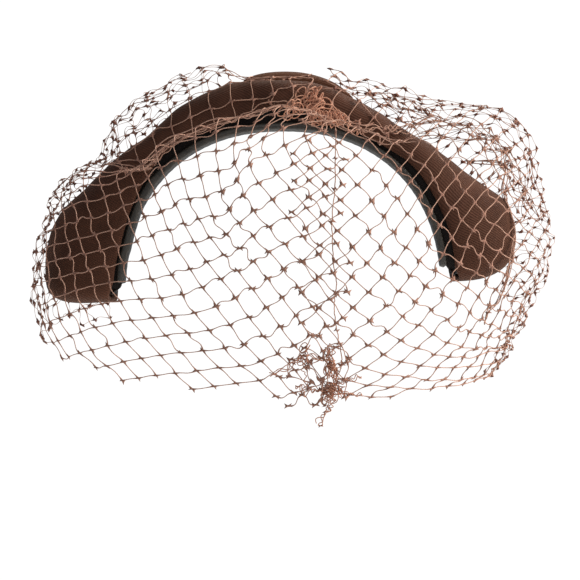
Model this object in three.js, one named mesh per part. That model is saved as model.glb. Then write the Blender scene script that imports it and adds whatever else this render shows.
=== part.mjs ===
// A half hat (bandeau fascinator): a ribbed cloth band arched over the head from ear to ear, with flared ends,
// a padded fold behind its top, a dark lining, a satin band that grips the head, and a veil of knotted net
// drawn up along the band's front edge.
//
// Millimetres. +Z is up, the face looks along -Y, +X is the wearer's left (a viewer in front sees it on the right).
// The origin is the crown of the head, under the middle of the arch. Nothing of the head itself is built.
//
// Everything is worked out in polar form about the head's centre line, which runs along Y: `angle` is counted in
// degrees from straight up, positive towards +X, and `rise` is the distance outside the head's outline.

import * as THREE from "three";

// ---- Driving dimensions ----------------------------------------------------------------------------------------

const head = { radius: 78, power: 2.2, centreZ: -78 };

const wall = 2.6; // cloth over stiffened net
const gap = 0.45; // between pieces that touch
const liningWall = 1;
const netWall = 1.2; // the outer form of the net

// The band, one row for each section across it: how far its crest and its front edge stand off the head's outline.
const bandSections = [
  { angle: -94, crest: 30, front: -1.5 },
  { angle: -86, crest: 30, front: -4 },
  { angle: -82, crest: 30, front: -4.2 },
  { angle: -73, crest: 28, front: -5.2 },
  { angle: -61, crest: 19, front: -4.6 },
  { angle: -50, crest: 13.6, front: -3.4 },
  { angle: -40, crest: 10.6, front: -1.8 },
  { angle: -26, crest: 13.6, front: -3 },
  { angle: -12, crest: 15, front: -2.4 },
  { angle: 0, crest: 14.4, front: 1.6 },
  { angle: 12, crest: 13.2, front: -1.5 },
  { angle: 24, crest: 9.8, front: -3.8 },
  { angle: 34, crest: 8.6, front: -4 },
  { angle: 48, crest: 12, front: -2.4 },
  { angle: 60, crest: 19.5, front: -2.6 },
  { angle: 71, crest: 29.5, front: -2.2 },
  { angle: 83, crest: 30.4, front: -2.2 },
  { angle: 88, crest: 30.5, front: 0.5 },
];
// The same sections from the side, over the crown and at the ears.
const bandDepth = {
  crown: { front: -34, crest: -8, back: 34, backRise: 4 },
  ear: { front: -22, crest: 14, back: 48, backRise: -1 },
};
// Each end rounds off over its last stretch. A higher power gives a squarer corner.
const bandEnds = {
  left: { angle: -94, round: 10, power: 3.5 },
  right: { angle: 87.3, round: 15, power: 2.6 },
};
const endDepthKept = 0.45; // share of the depth that is left at the very tip of an end
// The section's arch: round behind the crest, squarer in front of it over the crown.
const frontPower = { crown: 3.4, ear: 2.2, from: 42, to: 62 };
const backPower = 2;

const fold = { from: -11, top: 4, to: 20, front: 1, back: 33, edge: 0.9, lift: 6.2 };
const foldPower = { left: 2.2, right: 1.6, depth: 2.4 };

const gripBand = { from: -90, to: 84, thick: 3.8, wide: 14, setBack: 8, rise: -6.9, clear: 2.4 };

// The veil, one row for each direction round the head: how far the net stands out from the head's centre line.
const veilReach = [
  { angle: -180, reach: 100 },
  { angle: -121, reach: 101 },
  { angle: -103, reach: 107.5 },
  { angle: -88, reach: 111 },
  { angle: -76, reach: 110 },
  { angle: -65, reach: 109.5 },
  { angle: -55, reach: 101 },
  { angle: -43, reach: 107 },
  { angle: -33, reach: 105.5 },
  { angle: -20, reach: 105 },
  { angle: -10, reach: 100 },
  { angle: 4, reach: 102 },
  { angle: 19, reach: 99.5 },
  { angle: 30, reach: 104.5 },
  { angle: 42, reach: 112 },
  { angle: 52, reach: 127 },
  { angle: 58, reach: 131 },
  { angle: 69, reach: 124 },
  { angle: 81, reach: 121 },
  { angle: 92, reach: 111.5 },
  { angle: 102, reach: 105 },
  { angle: 121, reach: 99 },
  { angle: 180, reach: 100 },
];
const veil = {
  front: 94, // from the head's centre to the net in front of the face
  hemZ: -126, // at the middle of the face
  hemRise: 0.25, // how steeply the hem climbs towards the ears
  clear: 2.1, // kept from the cloth that it covers
  push: 0.5, // a step outwards, where it would come closer
  pushes: 60,
  drawn: { from: 46, to: 60, spread: 11 }, // where the net is drawn up to the band's front edge, in degrees
};
const veilSteps = { over: 25, corner: 10, chin: 4, face: 6, hat: 11, faceShare: 0.6 };
const bandSteps = { along: 26, across: 12, liningAcross: 8 };
const gripSteps = { along: 34, round: 12 };
const veilCorner = { from: 90, to: 128 }; // where the hem climbs round behind the ears
const heading = { left: [-44, 5], right: [21, 44], radius: 1.5, clear: 1.3 };
const knot = { angle: 13, lean: 48, tall: 10.5, wide: 6.6, deep: 3.8, lump: 0.13, clear: 5.7 };

// ---- Small helpers ---------------------------------------------------------------------------------------------

const rad = THREE.MathUtils.degToRad;
const { clamp, lerp, smoothstep } = THREE.MathUtils;

// A smooth curve through a table's rows: a cubic whose slope at each row never overshoots its neighbours.
function tableValue(rows, column, angle) {
  const last = rows.length - 1;
  const a = clamp(angle, rows[0].angle, rows[last].angle);
  let i = 0;
  while (i < last - 1 && a > rows[i + 1].angle) i++;
  const rise = (k) => (rows[k + 1][column] - rows[k][column]) / (rows[k + 1].angle - rows[k].angle);
  const slope = (k) => {
    if (k === 0 || k === last) return 0;
    const before = rise(k - 1);
    const after = rise(k);
    return before * after <= 0 ? 0 : (2 * before * after) / (before + after);
  };
  const span = rows[i + 1].angle - rows[i].angle;
  const t = (a - rows[i].angle) / span;
  return (
    rows[i][column] * (1 + 2 * t) * (1 - t) ** 2 +
    rows[i + 1][column] * t * t * (3 - 2 * t) +
    span * (slope(i) * t * (1 - t) ** 2 - slope(i + 1) * t * t * (1 - t))
  );
}

// The height of a rounded arch at u, from 1 in the middle (u = 0) to 0 at its feet (u = -1 and 1).
const arch = (u, power) => (1 - Math.min(Math.abs(u), 1) ** power) ** (1 / power);

// The head's outline: its distance from the centre line in the direction `angle`.
function headRadius(angle) {
  const s = Math.abs(Math.sin(rad(angle))) / head.radius;
  const c = Math.abs(Math.cos(rad(angle))) / head.radius;
  return (s ** head.power + c ** head.power) ** (-1 / head.power);
}

// A point from its direction, its distance outside the head's outline and its depth.
function place(angle, rise, y) {
  const r = headRadius(angle) + rise;
  return new THREE.Vector3(r * Math.sin(rad(angle)), y, head.centreZ + r * Math.cos(rad(angle)));
}

// ---- Closed meshes from grids of points ------------------------------------------------------------------------

function closedMesh(name, points, faces, colour, roughness) {
  const kept = faces.filter(([a, b, c]) => {
    const [p, q, r] = [points[a], points[b], points[c]];
    return p.distanceTo(q) > 1e-6 && q.distanceTo(r) > 1e-6 && r.distanceTo(p) > 1e-6;
  });
  const volume = kept.reduce((sum, [a, b, c]) => {
    return sum + points[a].dot(new THREE.Vector3().crossVectors(points[b], points[c]));
  }, 0);
  const outward = volume < 0 ? kept.map(([a, b, c]) => [a, c, b]) : kept;
  const geometry = new THREE.BufferGeometry().setFromPoints(points);
  geometry.setIndex(outward.flat());
  geometry.computeVertexNormals();
  const mesh = new THREE.Mesh(geometry, new THREE.MeshStandardMaterial({ color: colour, roughness }));
  mesh.name = name;
  return mesh;
}

function gridFaces(columns, rows, start) {
  const faces = [];
  for (let i = 0; i < columns - 1; i++)
    for (let j = 0; j < rows - 1; j++) {
      const a = start + i * rows + j;
      faces.push([a, a + rows, a + rows + 1], [a, a + rows + 1, a + 1]);
    }
  return faces;
}

// A wall between an outer and an inner sheet, each a list of columns of points, closed all round its rim.
// A sheet that is `joined` meets itself, its last column on its first, so only its last row is a rim.
function wallMesh(name, outer, inner, colour, roughness, joined = false) {
  const columns = outer.length;
  const rows = outer[0].length;
  const points = [...outer.flat(), ...inner.flat()];
  const shift = columns * rows;
  const faces = gridFaces(columns, rows, 0);
  gridFaces(columns, rows, shift).forEach(([a, b, c]) => faces.push([a, c, b]));
  const rim = [];
  for (let i = 0; i < columns; i++) rim.push(i * rows + rows - 1);
  if (!joined) {
    for (let j = rows - 2; j >= 0; j--) rim.push((columns - 1) * rows + j);
    for (let i = columns - 2; i >= 0; i--) rim.push(i * rows);
    for (let j = 1; j < rows; j++) rim.push(j);
  }
  for (let k = 0; k < rim.length - 1; k++) {
    const [a, b] = [rim[k], rim[k + 1]];
    faces.push([a, b, b + shift], [a, b + shift, a + shift]);
  }
  return closedMesh(name, points, faces, colour, roughness);
}

// A solid swept through rings of points, closed at both ends with a fan.
function sweptMesh(name, rings, colour, roughness) {
  const sides = rings[0].length;
  const points = rings.flatMap((ring) => [...ring, ring[0]]);
  const faces = gridFaces(rings.length, sides + 1, 0);
  [rings[0], rings.at(-1)].forEach((ring, k) => {
    const middle = new THREE.Vector3();
    ring.forEach((p) => middle.addScaledVector(p, 1 / sides));
    const base = k * (rings.length - 1) * (sides + 1);
    for (let j = 0; j < sides; j++)
      faces.push(k ? [points.length, base + j + 1, base + j] : [points.length, base + j, base + j + 1]);
    points.push(middle);
  });
  return closedMesh(name, points, faces, colour, roughness);
}

const range = (from, to, steps) => Array.from({ length: steps + 1 }, (_, i) => lerp(from, to, i / steps));

// ---- The band --------------------------------------------------------------------------------------------------

// How much of the crest's height and of the depth is left near an end; `inset` moves the end inwards.
function endFullness(angle, inset) {
  const end = angle < 0 ? bandEnds.left : bandEnds.right;
  const cut = THREE.MathUtils.radToDeg(inset / head.radius);
  const start = Math.abs(end.angle) - end.round;
  return arch(Math.max(Math.abs(angle) - start, 0) / (end.round - cut), end.power);
}

// One section of the band, `inset` inside its outer surface: depths of the front edge, crest and back edge, with
// their rises.
function bandSection(angle, inset = 0) {
  const s = smoothstep(Math.abs(angle), 0, 90);
  const between = (key) => lerp(bandDepth.crown[key], bandDepth.ear[key], s);
  const full = endFullness(angle, inset);
  const depth = lerp(endDepthKept, 1, full);
  const crestY = between("crest");
  const front = tableValue(bandSections, "front", angle);
  const backRise = between("backRise");
  const crest = lerp(front, tableValue(bandSections, "crest", angle) - inset, full);
  return {
    crestY,
    frontY: crestY + (between("front") + inset - crestY) * depth,
    backY: crestY + (between("back") - inset - crestY) * depth,
    front,
    back: Math.min(backRise, lerp(front, backRise, full)),
    crest: Math.max(crest, front),
  };
}

function sectionPower(angle, ahead) {
  if (!ahead) return backPower;
  return lerp(frontPower.crown, frontPower.ear, smoothstep(Math.abs(angle), frontPower.from, frontPower.to));
}

// The rise of the band's surface at a depth y.
function bandRise(angle, y, inset = 0) {
  const s = bandSection(angle, inset);
  const [edgeY, edge] = y < s.crestY ? [s.frontY, s.front] : [s.backY, s.back];
  const u = (y - s.crestY) / (edgeY - s.crestY);
  return u >= 1 ? -Infinity : lerp(edge, s.crest, arch(u, sectionPower(angle, y < s.crestY)));
}

// A sheet of the band's form: columns run from the front edge over the crest to the back edge.
function bandSheet(inset, acrossSteps) {
  const cut = THREE.MathUtils.radToDeg(inset / head.radius);
  const roundSteps = 5;
  const rounded = (end) =>
    range(0, 90, roundSteps).map((b) => {
      const reach = Math.abs(end.angle) - end.round + (end.round - cut) * Math.sin(rad(b)) ** (2 / end.power);
      return Math.sign(end.angle) * reach;
    });
  const left = rounded(bandEnds.left).reverse();
  const right = rounded(bandEnds.right);
  const angles = [...left, ...range(left.at(-1), right[0], bandSteps.along).slice(1, -1), ...right];
  return angles.map((angle) => {
    const s = bandSection(angle, inset);
    return range(-90, 90, acrossSteps).map((b) => {
      const edgeY = b < 0 ? s.frontY : s.backY;
      const edge = b < 0 ? s.front : s.back;
      const share = 2 / sectionPower(angle, b < 0);
      const y = lerp(s.crestY, edgeY, Math.abs(Math.sin(rad(b))) ** share);
      return place(angle, lerp(edge, s.crest, Math.max(Math.cos(rad(b)), 0) ** share), y);
    });
  });
}

function makeBand() {
  return wallMesh("band", bandSheet(0, bandSteps.across), bandSheet(wall, bandSteps.across), 0x4e362b, 0.85);
}

function makeLining() {
  const outside = wall + 2 * gap;
  const sheet = (inset) => bandSheet(inset, bandSteps.liningAcross);
  return wallMesh("lining", sheet(outside), sheet(outside + liningWall), 0x120d0b, 0.6);
}

// ---- The fold behind the top -----------------------------------------------------------------------------------

// The fold's height above the cloth that it lies on.
function foldHeight(angle, y) {
  const u = angle < fold.top ? (angle - fold.top) / (fold.top - fold.from) : (angle - fold.top) / (fold.to - fold.top);
  const along = arch(u, angle < fold.top ? foldPower.left : foldPower.right);
  const middle = (fold.front + fold.back) / 2;
  const across = arch((y - middle) / (fold.back - middle), foldPower.depth);
  return fold.edge + fold.lift * along * across;
}

function makeCrownFold() {
  const spread = (from, to, steps) => range(-90, 90, steps).map((b) => lerp(from, to, (Math.sin(rad(b)) + 1) / 2));
  const sheet = (height) =>
    spread(fold.from, fold.to, 16).map((angle) =>
      spread(fold.front, fold.back, 10).map((y) => place(angle, bandRise(angle, y) + gap + height(angle, y), y)),
    );
  return wallMesh("crown_fold", sheet(foldHeight), sheet(() => 0), 0x6a4a3c, 0.8);
}

// ---- The satin band that grips the head ------------------------------------------------------------------------

function makeGripBand() {
  const rings = range(gripBand.from, gripBand.to, gripSteps.along).map((angle) => {
    const s = bandSection(angle);
    const rise = Math.min(gripBand.rise, s.front - gripBand.clear);
    return range(0, 360, gripSteps.round)
      .slice(0, -1)
      .map((b) => {
        const [c, d] = [Math.cos(rad(b)), Math.sin(rad(b))];
        const round = (v) => Math.sign(v) * Math.sqrt(Math.abs(v));
        const y = s.frontY + gripBand.setBack + (gripBand.wide / 2) * round(c);
        return place(angle, rise + (gripBand.thick / 2) * round(d), y);
      });
  });
  return sweptMesh("inner_band", rings, 0x3c3a30, 0.4);
}

// ---- The veil --------------------------------------------------------------------------------------------------

// The veil is worked out from the head's centre: `tilt` is counted in degrees from straight ahead (0, in front of
// the face) over the arch (90) towards the back.
const fromTilt = (angle, distance, tilt) => ({
  across: distance * Math.sin(rad(tilt)),
  y: -distance * Math.cos(rad(tilt)),
});

// Where the net is drawn up, just outside the band's front edge.
function drawnEdge(angle) {
  const s = bandSection(clamp(angle, -90, 84));
  const across = headRadius(angle) + s.front;
  const y = s.frontY - veil.clear;
  return { tilt: THREE.MathUtils.radToDeg(Math.atan2(across, -y)), distance: Math.hypot(across, y) };
}

// Where the net is tucked in behind the band's back edge.
function tuckedEdge(angle) {
  const s = bandSection(clamp(angle, -84, 73));
  const across = headRadius(angle) + s.back + veil.clear;
  const y = s.backY + veil.clear;
  return { tilt: THREE.MathUtils.radToDeg(Math.atan2(across, -y)), distance: Math.hypot(across, y) };
}

// The veil's distance from the head's centre: half an egg in front, drawn in at the band's front edge and, behind,
// down to the tucked edge, and never closer to the band than `clear`.
function veilDistance(angle, tilt) {
  const reach = tableValue(veilReach, "reach", angle);
  const egg = (t) => ((Math.sin(rad(t)) / reach) ** 2 + (Math.cos(rad(t)) / veil.front) ** 2) ** -0.5;
  const drawn = drawnEdge(angle);
  const share = 1 - smoothstep(Math.abs(angle), veil.drawn.from, veil.drawn.to);
  const pull = share * Math.exp(-(((tilt - drawn.tilt) / veil.drawn.spread) ** 2));
  const tucked = tuckedEdge(angle);
  const free =
    tilt <= 90
      ? egg(tilt) - pull * (egg(drawn.tilt) - drawn.distance)
      : lerp(tucked.distance, reach, arch((tilt - 90) / (tucked.tilt - 90), 2));
  return clearOfBand(angle, tilt, free);
}

// Moves a point of the net outwards along its own direction until it clears the band.
function clearOfBand(angle, tilt, distance) {
  const s = bandSection(angle);
  let d = distance;
  for (let step = 0; step < veil.pushes; step++) {
    const { across, y } = fromTilt(angle, d, tilt);
    const nearest = clamp(y, s.frontY + 0.01, s.backY - 0.01);
    if (Math.abs(y - nearest) > 0.9 * veil.clear) break;
    const rise = Math.max(bandRise(angle, nearest), foldTop(angle, nearest));
    if (across - headRadius(angle) - rise >= veil.clear) break;
    d += veil.push;
  }
  return d;
}

function foldTop(angle, y) {
  const inside = angle > fold.from && angle < fold.to && y > fold.front && y < fold.back;
  return inside ? bandRise(angle, y) + gap + foldHeight(angle, y) : -Infinity;
}

// The tilt at which the net ends: at its hem below the face and the ears, or tucked in behind the band.
function veilEnd(angle) {
  const tucked = tuckedEdge(angle).tilt;
  const below = (tilt) => {
    const { across, y } = fromTilt(angle, veilDistance(angle, tilt), tilt);
    return head.centreZ + across * Math.cos(rad(angle)) < veil.hemZ + veil.hemRise * (y + veil.front);
  };
  if (!below(tucked)) return tucked;
  let [low, high] = [0, tucked];
  for (let step = 0; step < 24; step++) {
    const middle = (low + high) / 2;
    if (below(middle)) high = middle;
    else low = middle;
  }
  return low;
}

function veilPoint(angle, tilt, outwards) {
  const { across, y } = fromTilt(angle, veilDistance(angle, tilt) + outwards, tilt);
  return new THREE.Vector3(across * Math.sin(rad(angle)), y, head.centreZ + across * Math.cos(rad(angle)));
}

function makeVeil() {
  const { from, to } = veilCorner;
  const angles = [
    ...range(-180, -to, veilSteps.chin),
    ...range(-to, -from, veilSteps.corner).slice(1),
    ...range(-from, from, veilSteps.over).slice(1),
    ...range(from, to, veilSteps.corner).slice(1),
    ...range(to, 180, veilSteps.chin).slice(1),
  ];
  const sheet = (outwards) => {
    const columns = angles.map((angle) => {
      const end = veilEnd(angle);
      const knee = Math.min(drawnEdge(angle).tilt, end * veilSteps.faceShare);
      const tilts = [...range(0, knee, veilSteps.face), ...range(knee, end, veilSteps.hat).slice(1)];
      return tilts.map((tilt) => veilPoint(angle, tilt, outwards));
    });
    columns[columns.length - 1] = columns[0];
    return columns;
  };
  return wallMesh("veil", sheet(netWall), sheet(0), 0x8a6250, 0.9, true);
}

// The drawn-up edge of the net, a soft roll sewn along the band's front edge on each side of the knot.
function makeHeading(name, [from, to]) {
  const sides = 8;
  const offset = netWall + heading.radius + heading.clear;
  const route = range(from, to, Math.round((to - from) / 3)).map((a) => veilPoint(a, drawnEdge(a).tilt, offset));
  const curve = new THREE.CatmullRomCurve3(route);
  const frames = curve.computeFrenetFrames(route.length - 1);
  const rings = range(0, 1, route.length - 1).map((t, i) => {
    const centre = curve.getPointAt(t);
    return range(0, 360, sides)
      .slice(0, -1)
      .map((b) =>
        centre
          .clone()
          .addScaledVector(frames.normals[i], heading.radius * Math.cos(rad(b)))
          .addScaledVector(frames.binormals[i], heading.radius * Math.sin(rad(b))),
      );
  });
  return sweptMesh(name, rings, 0x8a6250, 0.9);
}

// The bunch of net at the top, a lumpy egg against the front of the veil.
function makeKnot() {
  const centre = veilPoint(knot.angle, drawnEdge(knot.angle).tilt, netWall + knot.deep + knot.clear);
  const sideways = new THREE.Vector3(1, 0, 0);
  const rings = range(8, 172, 10).map((v) =>
    range(0, 360, 16)
      .slice(0, -1)
      .map((h) => {
        const lump = 1 - knot.lump * (0.5 + 0.5 * Math.sin(rad(3 * h)) * Math.sin(rad(4 * v)));
        const flat = Math.sin(rad(v)) * lump;
        return new THREE.Vector3(
          knot.wide * flat * Math.cos(rad(h)),
          knot.deep * flat * Math.sin(rad(h)),
          knot.tall * Math.cos(rad(v)),
        )
          .applyAxisAngle(sideways, rad(-knot.lean))
          .add(centre);
      }),
  );
  return sweptMesh("veil_knot", rings, 0x9a6d5c, 0.9);
}

// ---- The whole hat ---------------------------------------------------------------------------------------------

const hat = new THREE.Group();
hat.name = "half_hat";
hat.add(makeBand(), makeLining(), makeCrownFold(), makeGripBand());

const netting = new THREE.Group();
netting.name = "netting";
netting.add(makeVeil(), makeKnot());
netting.add(makeHeading("veil_heading_right", heading.left), makeHeading("veil_heading_left", heading.right));
hat.add(netting);

export default hat;
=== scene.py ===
# %% [markdown]
# # A half hat with a birdcage veil
#
# A half hat is a stiffened arch of cloth that sits across the head from ear to ear. This one is covered
# in brown ribbed silk, has a padded fold behind its top, a dark lining, a satin band that grips the head,
# and a veil of knotted net that is drawn up along the front edge and hangs over the face.
#
# The hat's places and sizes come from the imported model, which this script loads first and never changes.
# In it +Z is up, the face looks along -Y, +X is the wearer's left, and the origin is the head's crown.
# Forms are worked out in millimetres and degrees, and become metres when they are made into meshes.

# %% Load the fixed frame
import bpy
import numpy as np
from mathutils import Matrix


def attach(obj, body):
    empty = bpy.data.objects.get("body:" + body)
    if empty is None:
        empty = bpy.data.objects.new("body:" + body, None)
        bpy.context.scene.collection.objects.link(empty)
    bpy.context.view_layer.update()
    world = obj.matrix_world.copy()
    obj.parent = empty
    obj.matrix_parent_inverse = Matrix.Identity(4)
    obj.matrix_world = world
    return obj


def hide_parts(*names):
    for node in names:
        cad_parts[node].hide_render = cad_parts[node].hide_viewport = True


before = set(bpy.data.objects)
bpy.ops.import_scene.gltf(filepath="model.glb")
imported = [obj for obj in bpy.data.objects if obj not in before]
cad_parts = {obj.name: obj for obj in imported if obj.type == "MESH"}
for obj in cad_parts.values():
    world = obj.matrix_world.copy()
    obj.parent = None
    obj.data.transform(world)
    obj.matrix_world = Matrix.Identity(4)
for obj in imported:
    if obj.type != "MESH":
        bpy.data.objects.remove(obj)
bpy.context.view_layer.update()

MM = 0.001

# %% [markdown]
# ## Camera, light and surroundings
#
# The hat is looked at from straight ahead, at the height of the head's middle, through a long lens, so it
# is hardly foreshortened. One large lamp could light it all, but cloth needs light from the side for its
# ribs to show. So a warm key lamp stands on the wearer's left, a weak fill lamp near the camera opens the
# shadows, and a rim lamp behind picks out the top. The pale surroundings do the rest, as in a studio.

# %% Camera
# the camera's place, the depth at which its field is measured, and the width of that field, in metres
view = {"across": 3 * MM, "height": -78 * MM, "distance": 1.1, "plane": 19 * MM, "field": 0.2636}
camera_data = bpy.data.cameras.new("camera")
camera_data.sensor_width = 36
camera_data.lens = camera_data.sensor_width * view["distance"] / view["field"]
camera = bpy.data.objects.new("camera", camera_data)
camera.location = (view["across"], view["plane"] - view["distance"], view["height"])
camera.rotation_euler = (np.pi / 2, 0, 0)
bpy.context.scene.collection.objects.link(camera)
bpy.context.scene.camera = camera
bpy.context.scene.view_settings.view_transform = "Standard"
print("lens, mm:", round(camera_data.lens, 1))

# %% Lamps and surroundings
def lamp(name, place, size, power, colour=(1, 1, 1), target=(0, 0, -0.05)):
    """A square area lamp at `place` that faces `target`."""
    data = bpy.data.lights.new(name, "AREA")
    data.size = size
    data.energy = power
    data.color = colour
    lit = bpy.data.objects.new(name, data)
    lit.location = place
    away = np.array(place) - np.array(target)
    across, up = np.hypot(away[0], away[1]), away[2]
    lit.rotation_euler = (np.arctan2(across, up), 0, np.arctan2(away[1], away[0]) + np.pi / 2)
    bpy.context.scene.collection.objects.link(lit)


# place, width, power in watts and colour
lamp("key", (1.4, -0.05, 0.6), 0.8, 34, (1, 0.95, 0.89))
lamp("fill", (0.1, -1.4, 0.45), 1.0, 4.5)
lamp("rim", (0.35, 0.75, 0.8), 0.8, 7, (1, 0.95, 0.89))

world = bpy.data.worlds.new("studio")
world.use_nodes = True
sky = world.node_tree.nodes["Background"]
seen = world.node_tree.nodes.new("ShaderNodeBackground")
rays = world.node_tree.nodes.new("ShaderNodeLightPath")
either = world.node_tree.nodes.new("ShaderNodeMixShader")
sky.inputs["Color"].default_value = (0.93, 0.99, 1.09, 1)
sky.inputs["Strength"].default_value = 0.26
seen.inputs["Color"].default_value = (1, 1, 1, 1)
seen.inputs["Strength"].default_value = 1.05
for out_socket, in_socket in (
    (rays.outputs["Is Camera Ray"], either.inputs[0]),
    (sky.outputs[0], either.inputs[1]),
    (seen.outputs[0], either.inputs[2]),
    (either.outputs[0], world.node_tree.nodes["World Output"].inputs[0]),
):
    world.node_tree.links.new(out_socket, in_socket)
bpy.context.scene.world = world
print("lamps:", [data.name for data in bpy.data.lights])

# %% [markdown]
# ## Shader maths written as sums
#
# A cloth is a pattern, and a pattern is a formula. Its nodes could be added and linked one by one, but
# then the formula can't be read. So one small class wraps a node's output, and a sum such as
# `0.5 + ribs * 0.3` adds its maths nodes by itself. Another class holds the material being made.

# %% A socket that can be added, multiplied and waved
class Signal:
    """The output of a node, for use in sums."""

    def __init__(self, finish, socket):
        self.finish = finish
        self.socket = socket

    def maths(self, operation, *values):
        """A Math node with this value first and `values` after it."""
        inputs = {i: value for i, value in enumerate((self, *values))}
        return self.finish.node("Math", {"operation": operation}, inputs)

    def __add__(self, other):
        return self.maths("ADD", other)

    def __mul__(self, other):
        return self.maths("MULTIPLY", other)

    def __sub__(self, other):
        return self.maths("SUBTRACT", other)

    def __rsub__(self, other):
        return self.finish.node("Math", {"operation": "SUBTRACT"}, {0: other, 1: self})

    __radd__ = __add__
    __rmul__ = __mul__

    def wave(self):
        """A sine that runs from 0 to 1 and back each time the value grows by 1."""
        return (self * (2 * np.pi)).maths("SINE") * 0.5 + 0.5


class Finish:
    """A material: `constants` are set on the shader's own sockets, and nodes are added one by one."""

    def __init__(self, name, **constants):
        self.material = bpy.data.materials.new(name)
        self.material.use_nodes = True
        self.shader = self.material.node_tree.nodes["Principled BSDF"]
        for socket, value in constants.items():
            self.shader.inputs[socket.replace("_", " ")].default_value = value

    def node(self, kind, settings, inputs, output=0):
        """Adds a node of any kind: first its settings, then the value or link of each socket."""
        made = self.material.node_tree.nodes.new("ShaderNode" + kind)
        for key, value in settings.items():
            setattr(made, key, value)
        for key, value in inputs.items():
            self.plug(value, made.inputs[key])
        return Signal(self, made.outputs[output])

    def plug(self, value, socket):
        """Links a signal to a socket, or sets the socket to a plain value."""
        if isinstance(value, Signal):
            self.material.node_tree.links.new(value.socket, socket)
        else:
            socket.default_value = value

    def place(self):
        """The point on the object, in metres."""
        return self.node("TexCoord", {}, {}, "Object")

    def along(self, place, direction, pitch):
        """How many times `pitch` goes into the distance along `direction`."""
        scaled = tuple(np.array(direction) / np.linalg.norm(direction) / pitch)
        return self.node("VectorMath", {"operation": "DOT_PRODUCT"}, {0: place, 1: scaled}, "Value")

    def noise(self, place, size, detail=2.0):
        """Cloudy spots of about `size` metres, from 0 to 1."""
        return self.node("TexNoise", {}, {"Vector": place, "Scale": 1 / size, "Detail": detail}, "Fac")

    def mix(self, share, first, second):
        """A colour between two others, each a signal or three numbers."""
        inputs = {"Factor": share, 6: (*first, 1) if isinstance(first, tuple) else first}
        inputs[7] = (*second, 1) if isinstance(second, tuple) else second
        return self.node("Mix", {"data_type": "RGBA"}, inputs, 2)

    def colour(self, value):
        self.plug(value, self.shader.inputs["Base Color"])

    def roughness(self, value):
        self.plug(value, self.shader.inputs["Roughness"])

    def bump(self, height, deep):
        """Tilts the light on the surface as if it rose by `height` times `deep` metres."""
        inputs = {"Height": height, "Distance": deep, "Strength": 1.0}
        self.plug(self.node("Bump", {}, inputs, "Normal"), self.shader.inputs["Normal"])


# %% [markdown]
# ## Meshes from whole arrays
#
# Every new surface is a grid of points worked out by a formula of two parameters. Such a surface could
# also be pulled into shape by hand, but a formula can be measured and changed. One function turns a grid
# into a mesh, two more give it a flat measure of its own as UV, and two modifiers give a sheet its wall
# and a rounded rim.

# %% A grid of points becomes a mesh
def add_piece(name, points, faces, finish, smooth=True):
    """A new object at the origin, in metres, from points in millimetres."""
    mesh = bpy.data.meshes.new(name)
    mesh.from_pydata((points * MM).tolist(), [], faces.tolist())
    if smooth:
        mesh.shade_smooth()
    mesh.materials.append(finish.material)
    piece = bpy.data.objects.new(name, mesh)
    bpy.context.scene.collection.objects.link(piece)
    return piece


def grid_faces(columns, rows):
    """The four-sided faces between the neighbours of a grid of columns x rows points."""
    a = (np.arange(columns - 1)[:, None] * rows + np.arange(rows - 1)).reshape(-1)
    return np.stack([a, a + rows, a + rows + 1, a + 1], axis=1)


def add_uv(piece, name, flat):
    """A UV layer from a pair of numbers, in metres, for each point of the grid that the piece began as."""
    corners = np.zeros(len(piece.data.loops), int)
    piece.data.loops.foreach_get("vertex_index", corners)
    layer = piece.data.uv_layers.new(name=name)
    layer.data.foreach_set("uv", flat.reshape(-1, 2)[corners % flat[..., 0].size].reshape(-1))


def add_flat_measure(piece, grid):
    """UVs in metres: how far each point lies along and across the cloth, starting from its first edges."""
    along = np.linalg.norm(np.diff(grid, axis=0), axis=2).cumsum(axis=0)
    across = np.linalg.norm(np.diff(grid, axis=1), axis=2).cumsum(axis=1)
    flat = np.zeros((*grid.shape[:2], 2))
    flat[1:, :, 0] = along.mean(axis=1, keepdims=True) * MM
    flat[:, 1:, 1] = across * MM
    add_uv(piece, "flat", flat)


def cloth_wall(piece, thick):
    """Gives a sheet its thickness, inwards, and rounds its rim."""
    wall = piece.modifiers.new("wall", "SOLIDIFY")
    wall.thickness = thick * MM
    wall.offset = -1
    soften = piece.modifiers.new("soften", "SUBSURF")
    soften.levels = soften.render_levels = 1


# %% [markdown]
# ## The form of the hat
#
# The real hat is a stiff shape that was pressed over a block, so it follows the head. It could be drawn
# with x, y and z, but it is simpler in polar terms about the head's centre line, which runs from front to
# back: an angle from straight up, positive on the wearer's left, and how far the cloth rises off the
# head's outline. Each row of the table is a section through the arch, and smooth curves join the rows.

# %% The head's outline and the smooth curves through the tables
head = {"radius": 78, "power": 2.2, "centre": -78}
# thickness of cloth and stiffening together, and the room between two pieces
wall = 2.6
gap = 0.45

# angle, rise of the crest, rise of the front edge
band_rows = np.array([
    (-94, 30, -1.5), (-86, 30, -4), (-82, 30, -4.2), (-73, 28, -5.2), (-61, 19, -4.6), (-50, 13.6, -3.4),
    (-40, 10.6, -1.8), (-26, 13.6, -3), (-12, 15, -2.4), (0, 14.4, 1.6), (12, 13.2, -1.5), (24, 9.8, -3.8),
    (34, 8.6, -4), (48, 12, -2.4), (60, 19.5, -2.6), (71, 29.5, -2.2), (83, 30.4, -2.2), (88, 30.5, 0.5),
])
# y of the front edge, of the crest and of the back edge, and the rise of the back edge, at the two ends of
# the change from the crown to the ears
depth_crown = {"front": -34, "crest": -8, "back": 34, "back_rise": 4}
depth_ear = {"front": -22, "crest": 14, "back": 48, "back_rise": -1}
# the tip of each end, how far back from it the rounding begins, in degrees, and how square the rounding is
right_end = {"angle": 94, "round": 10, "power": 3.5}
left_end = {"angle": 87.3, "round": 15, "power": 2.6}
end_depth_kept = 0.45
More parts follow.
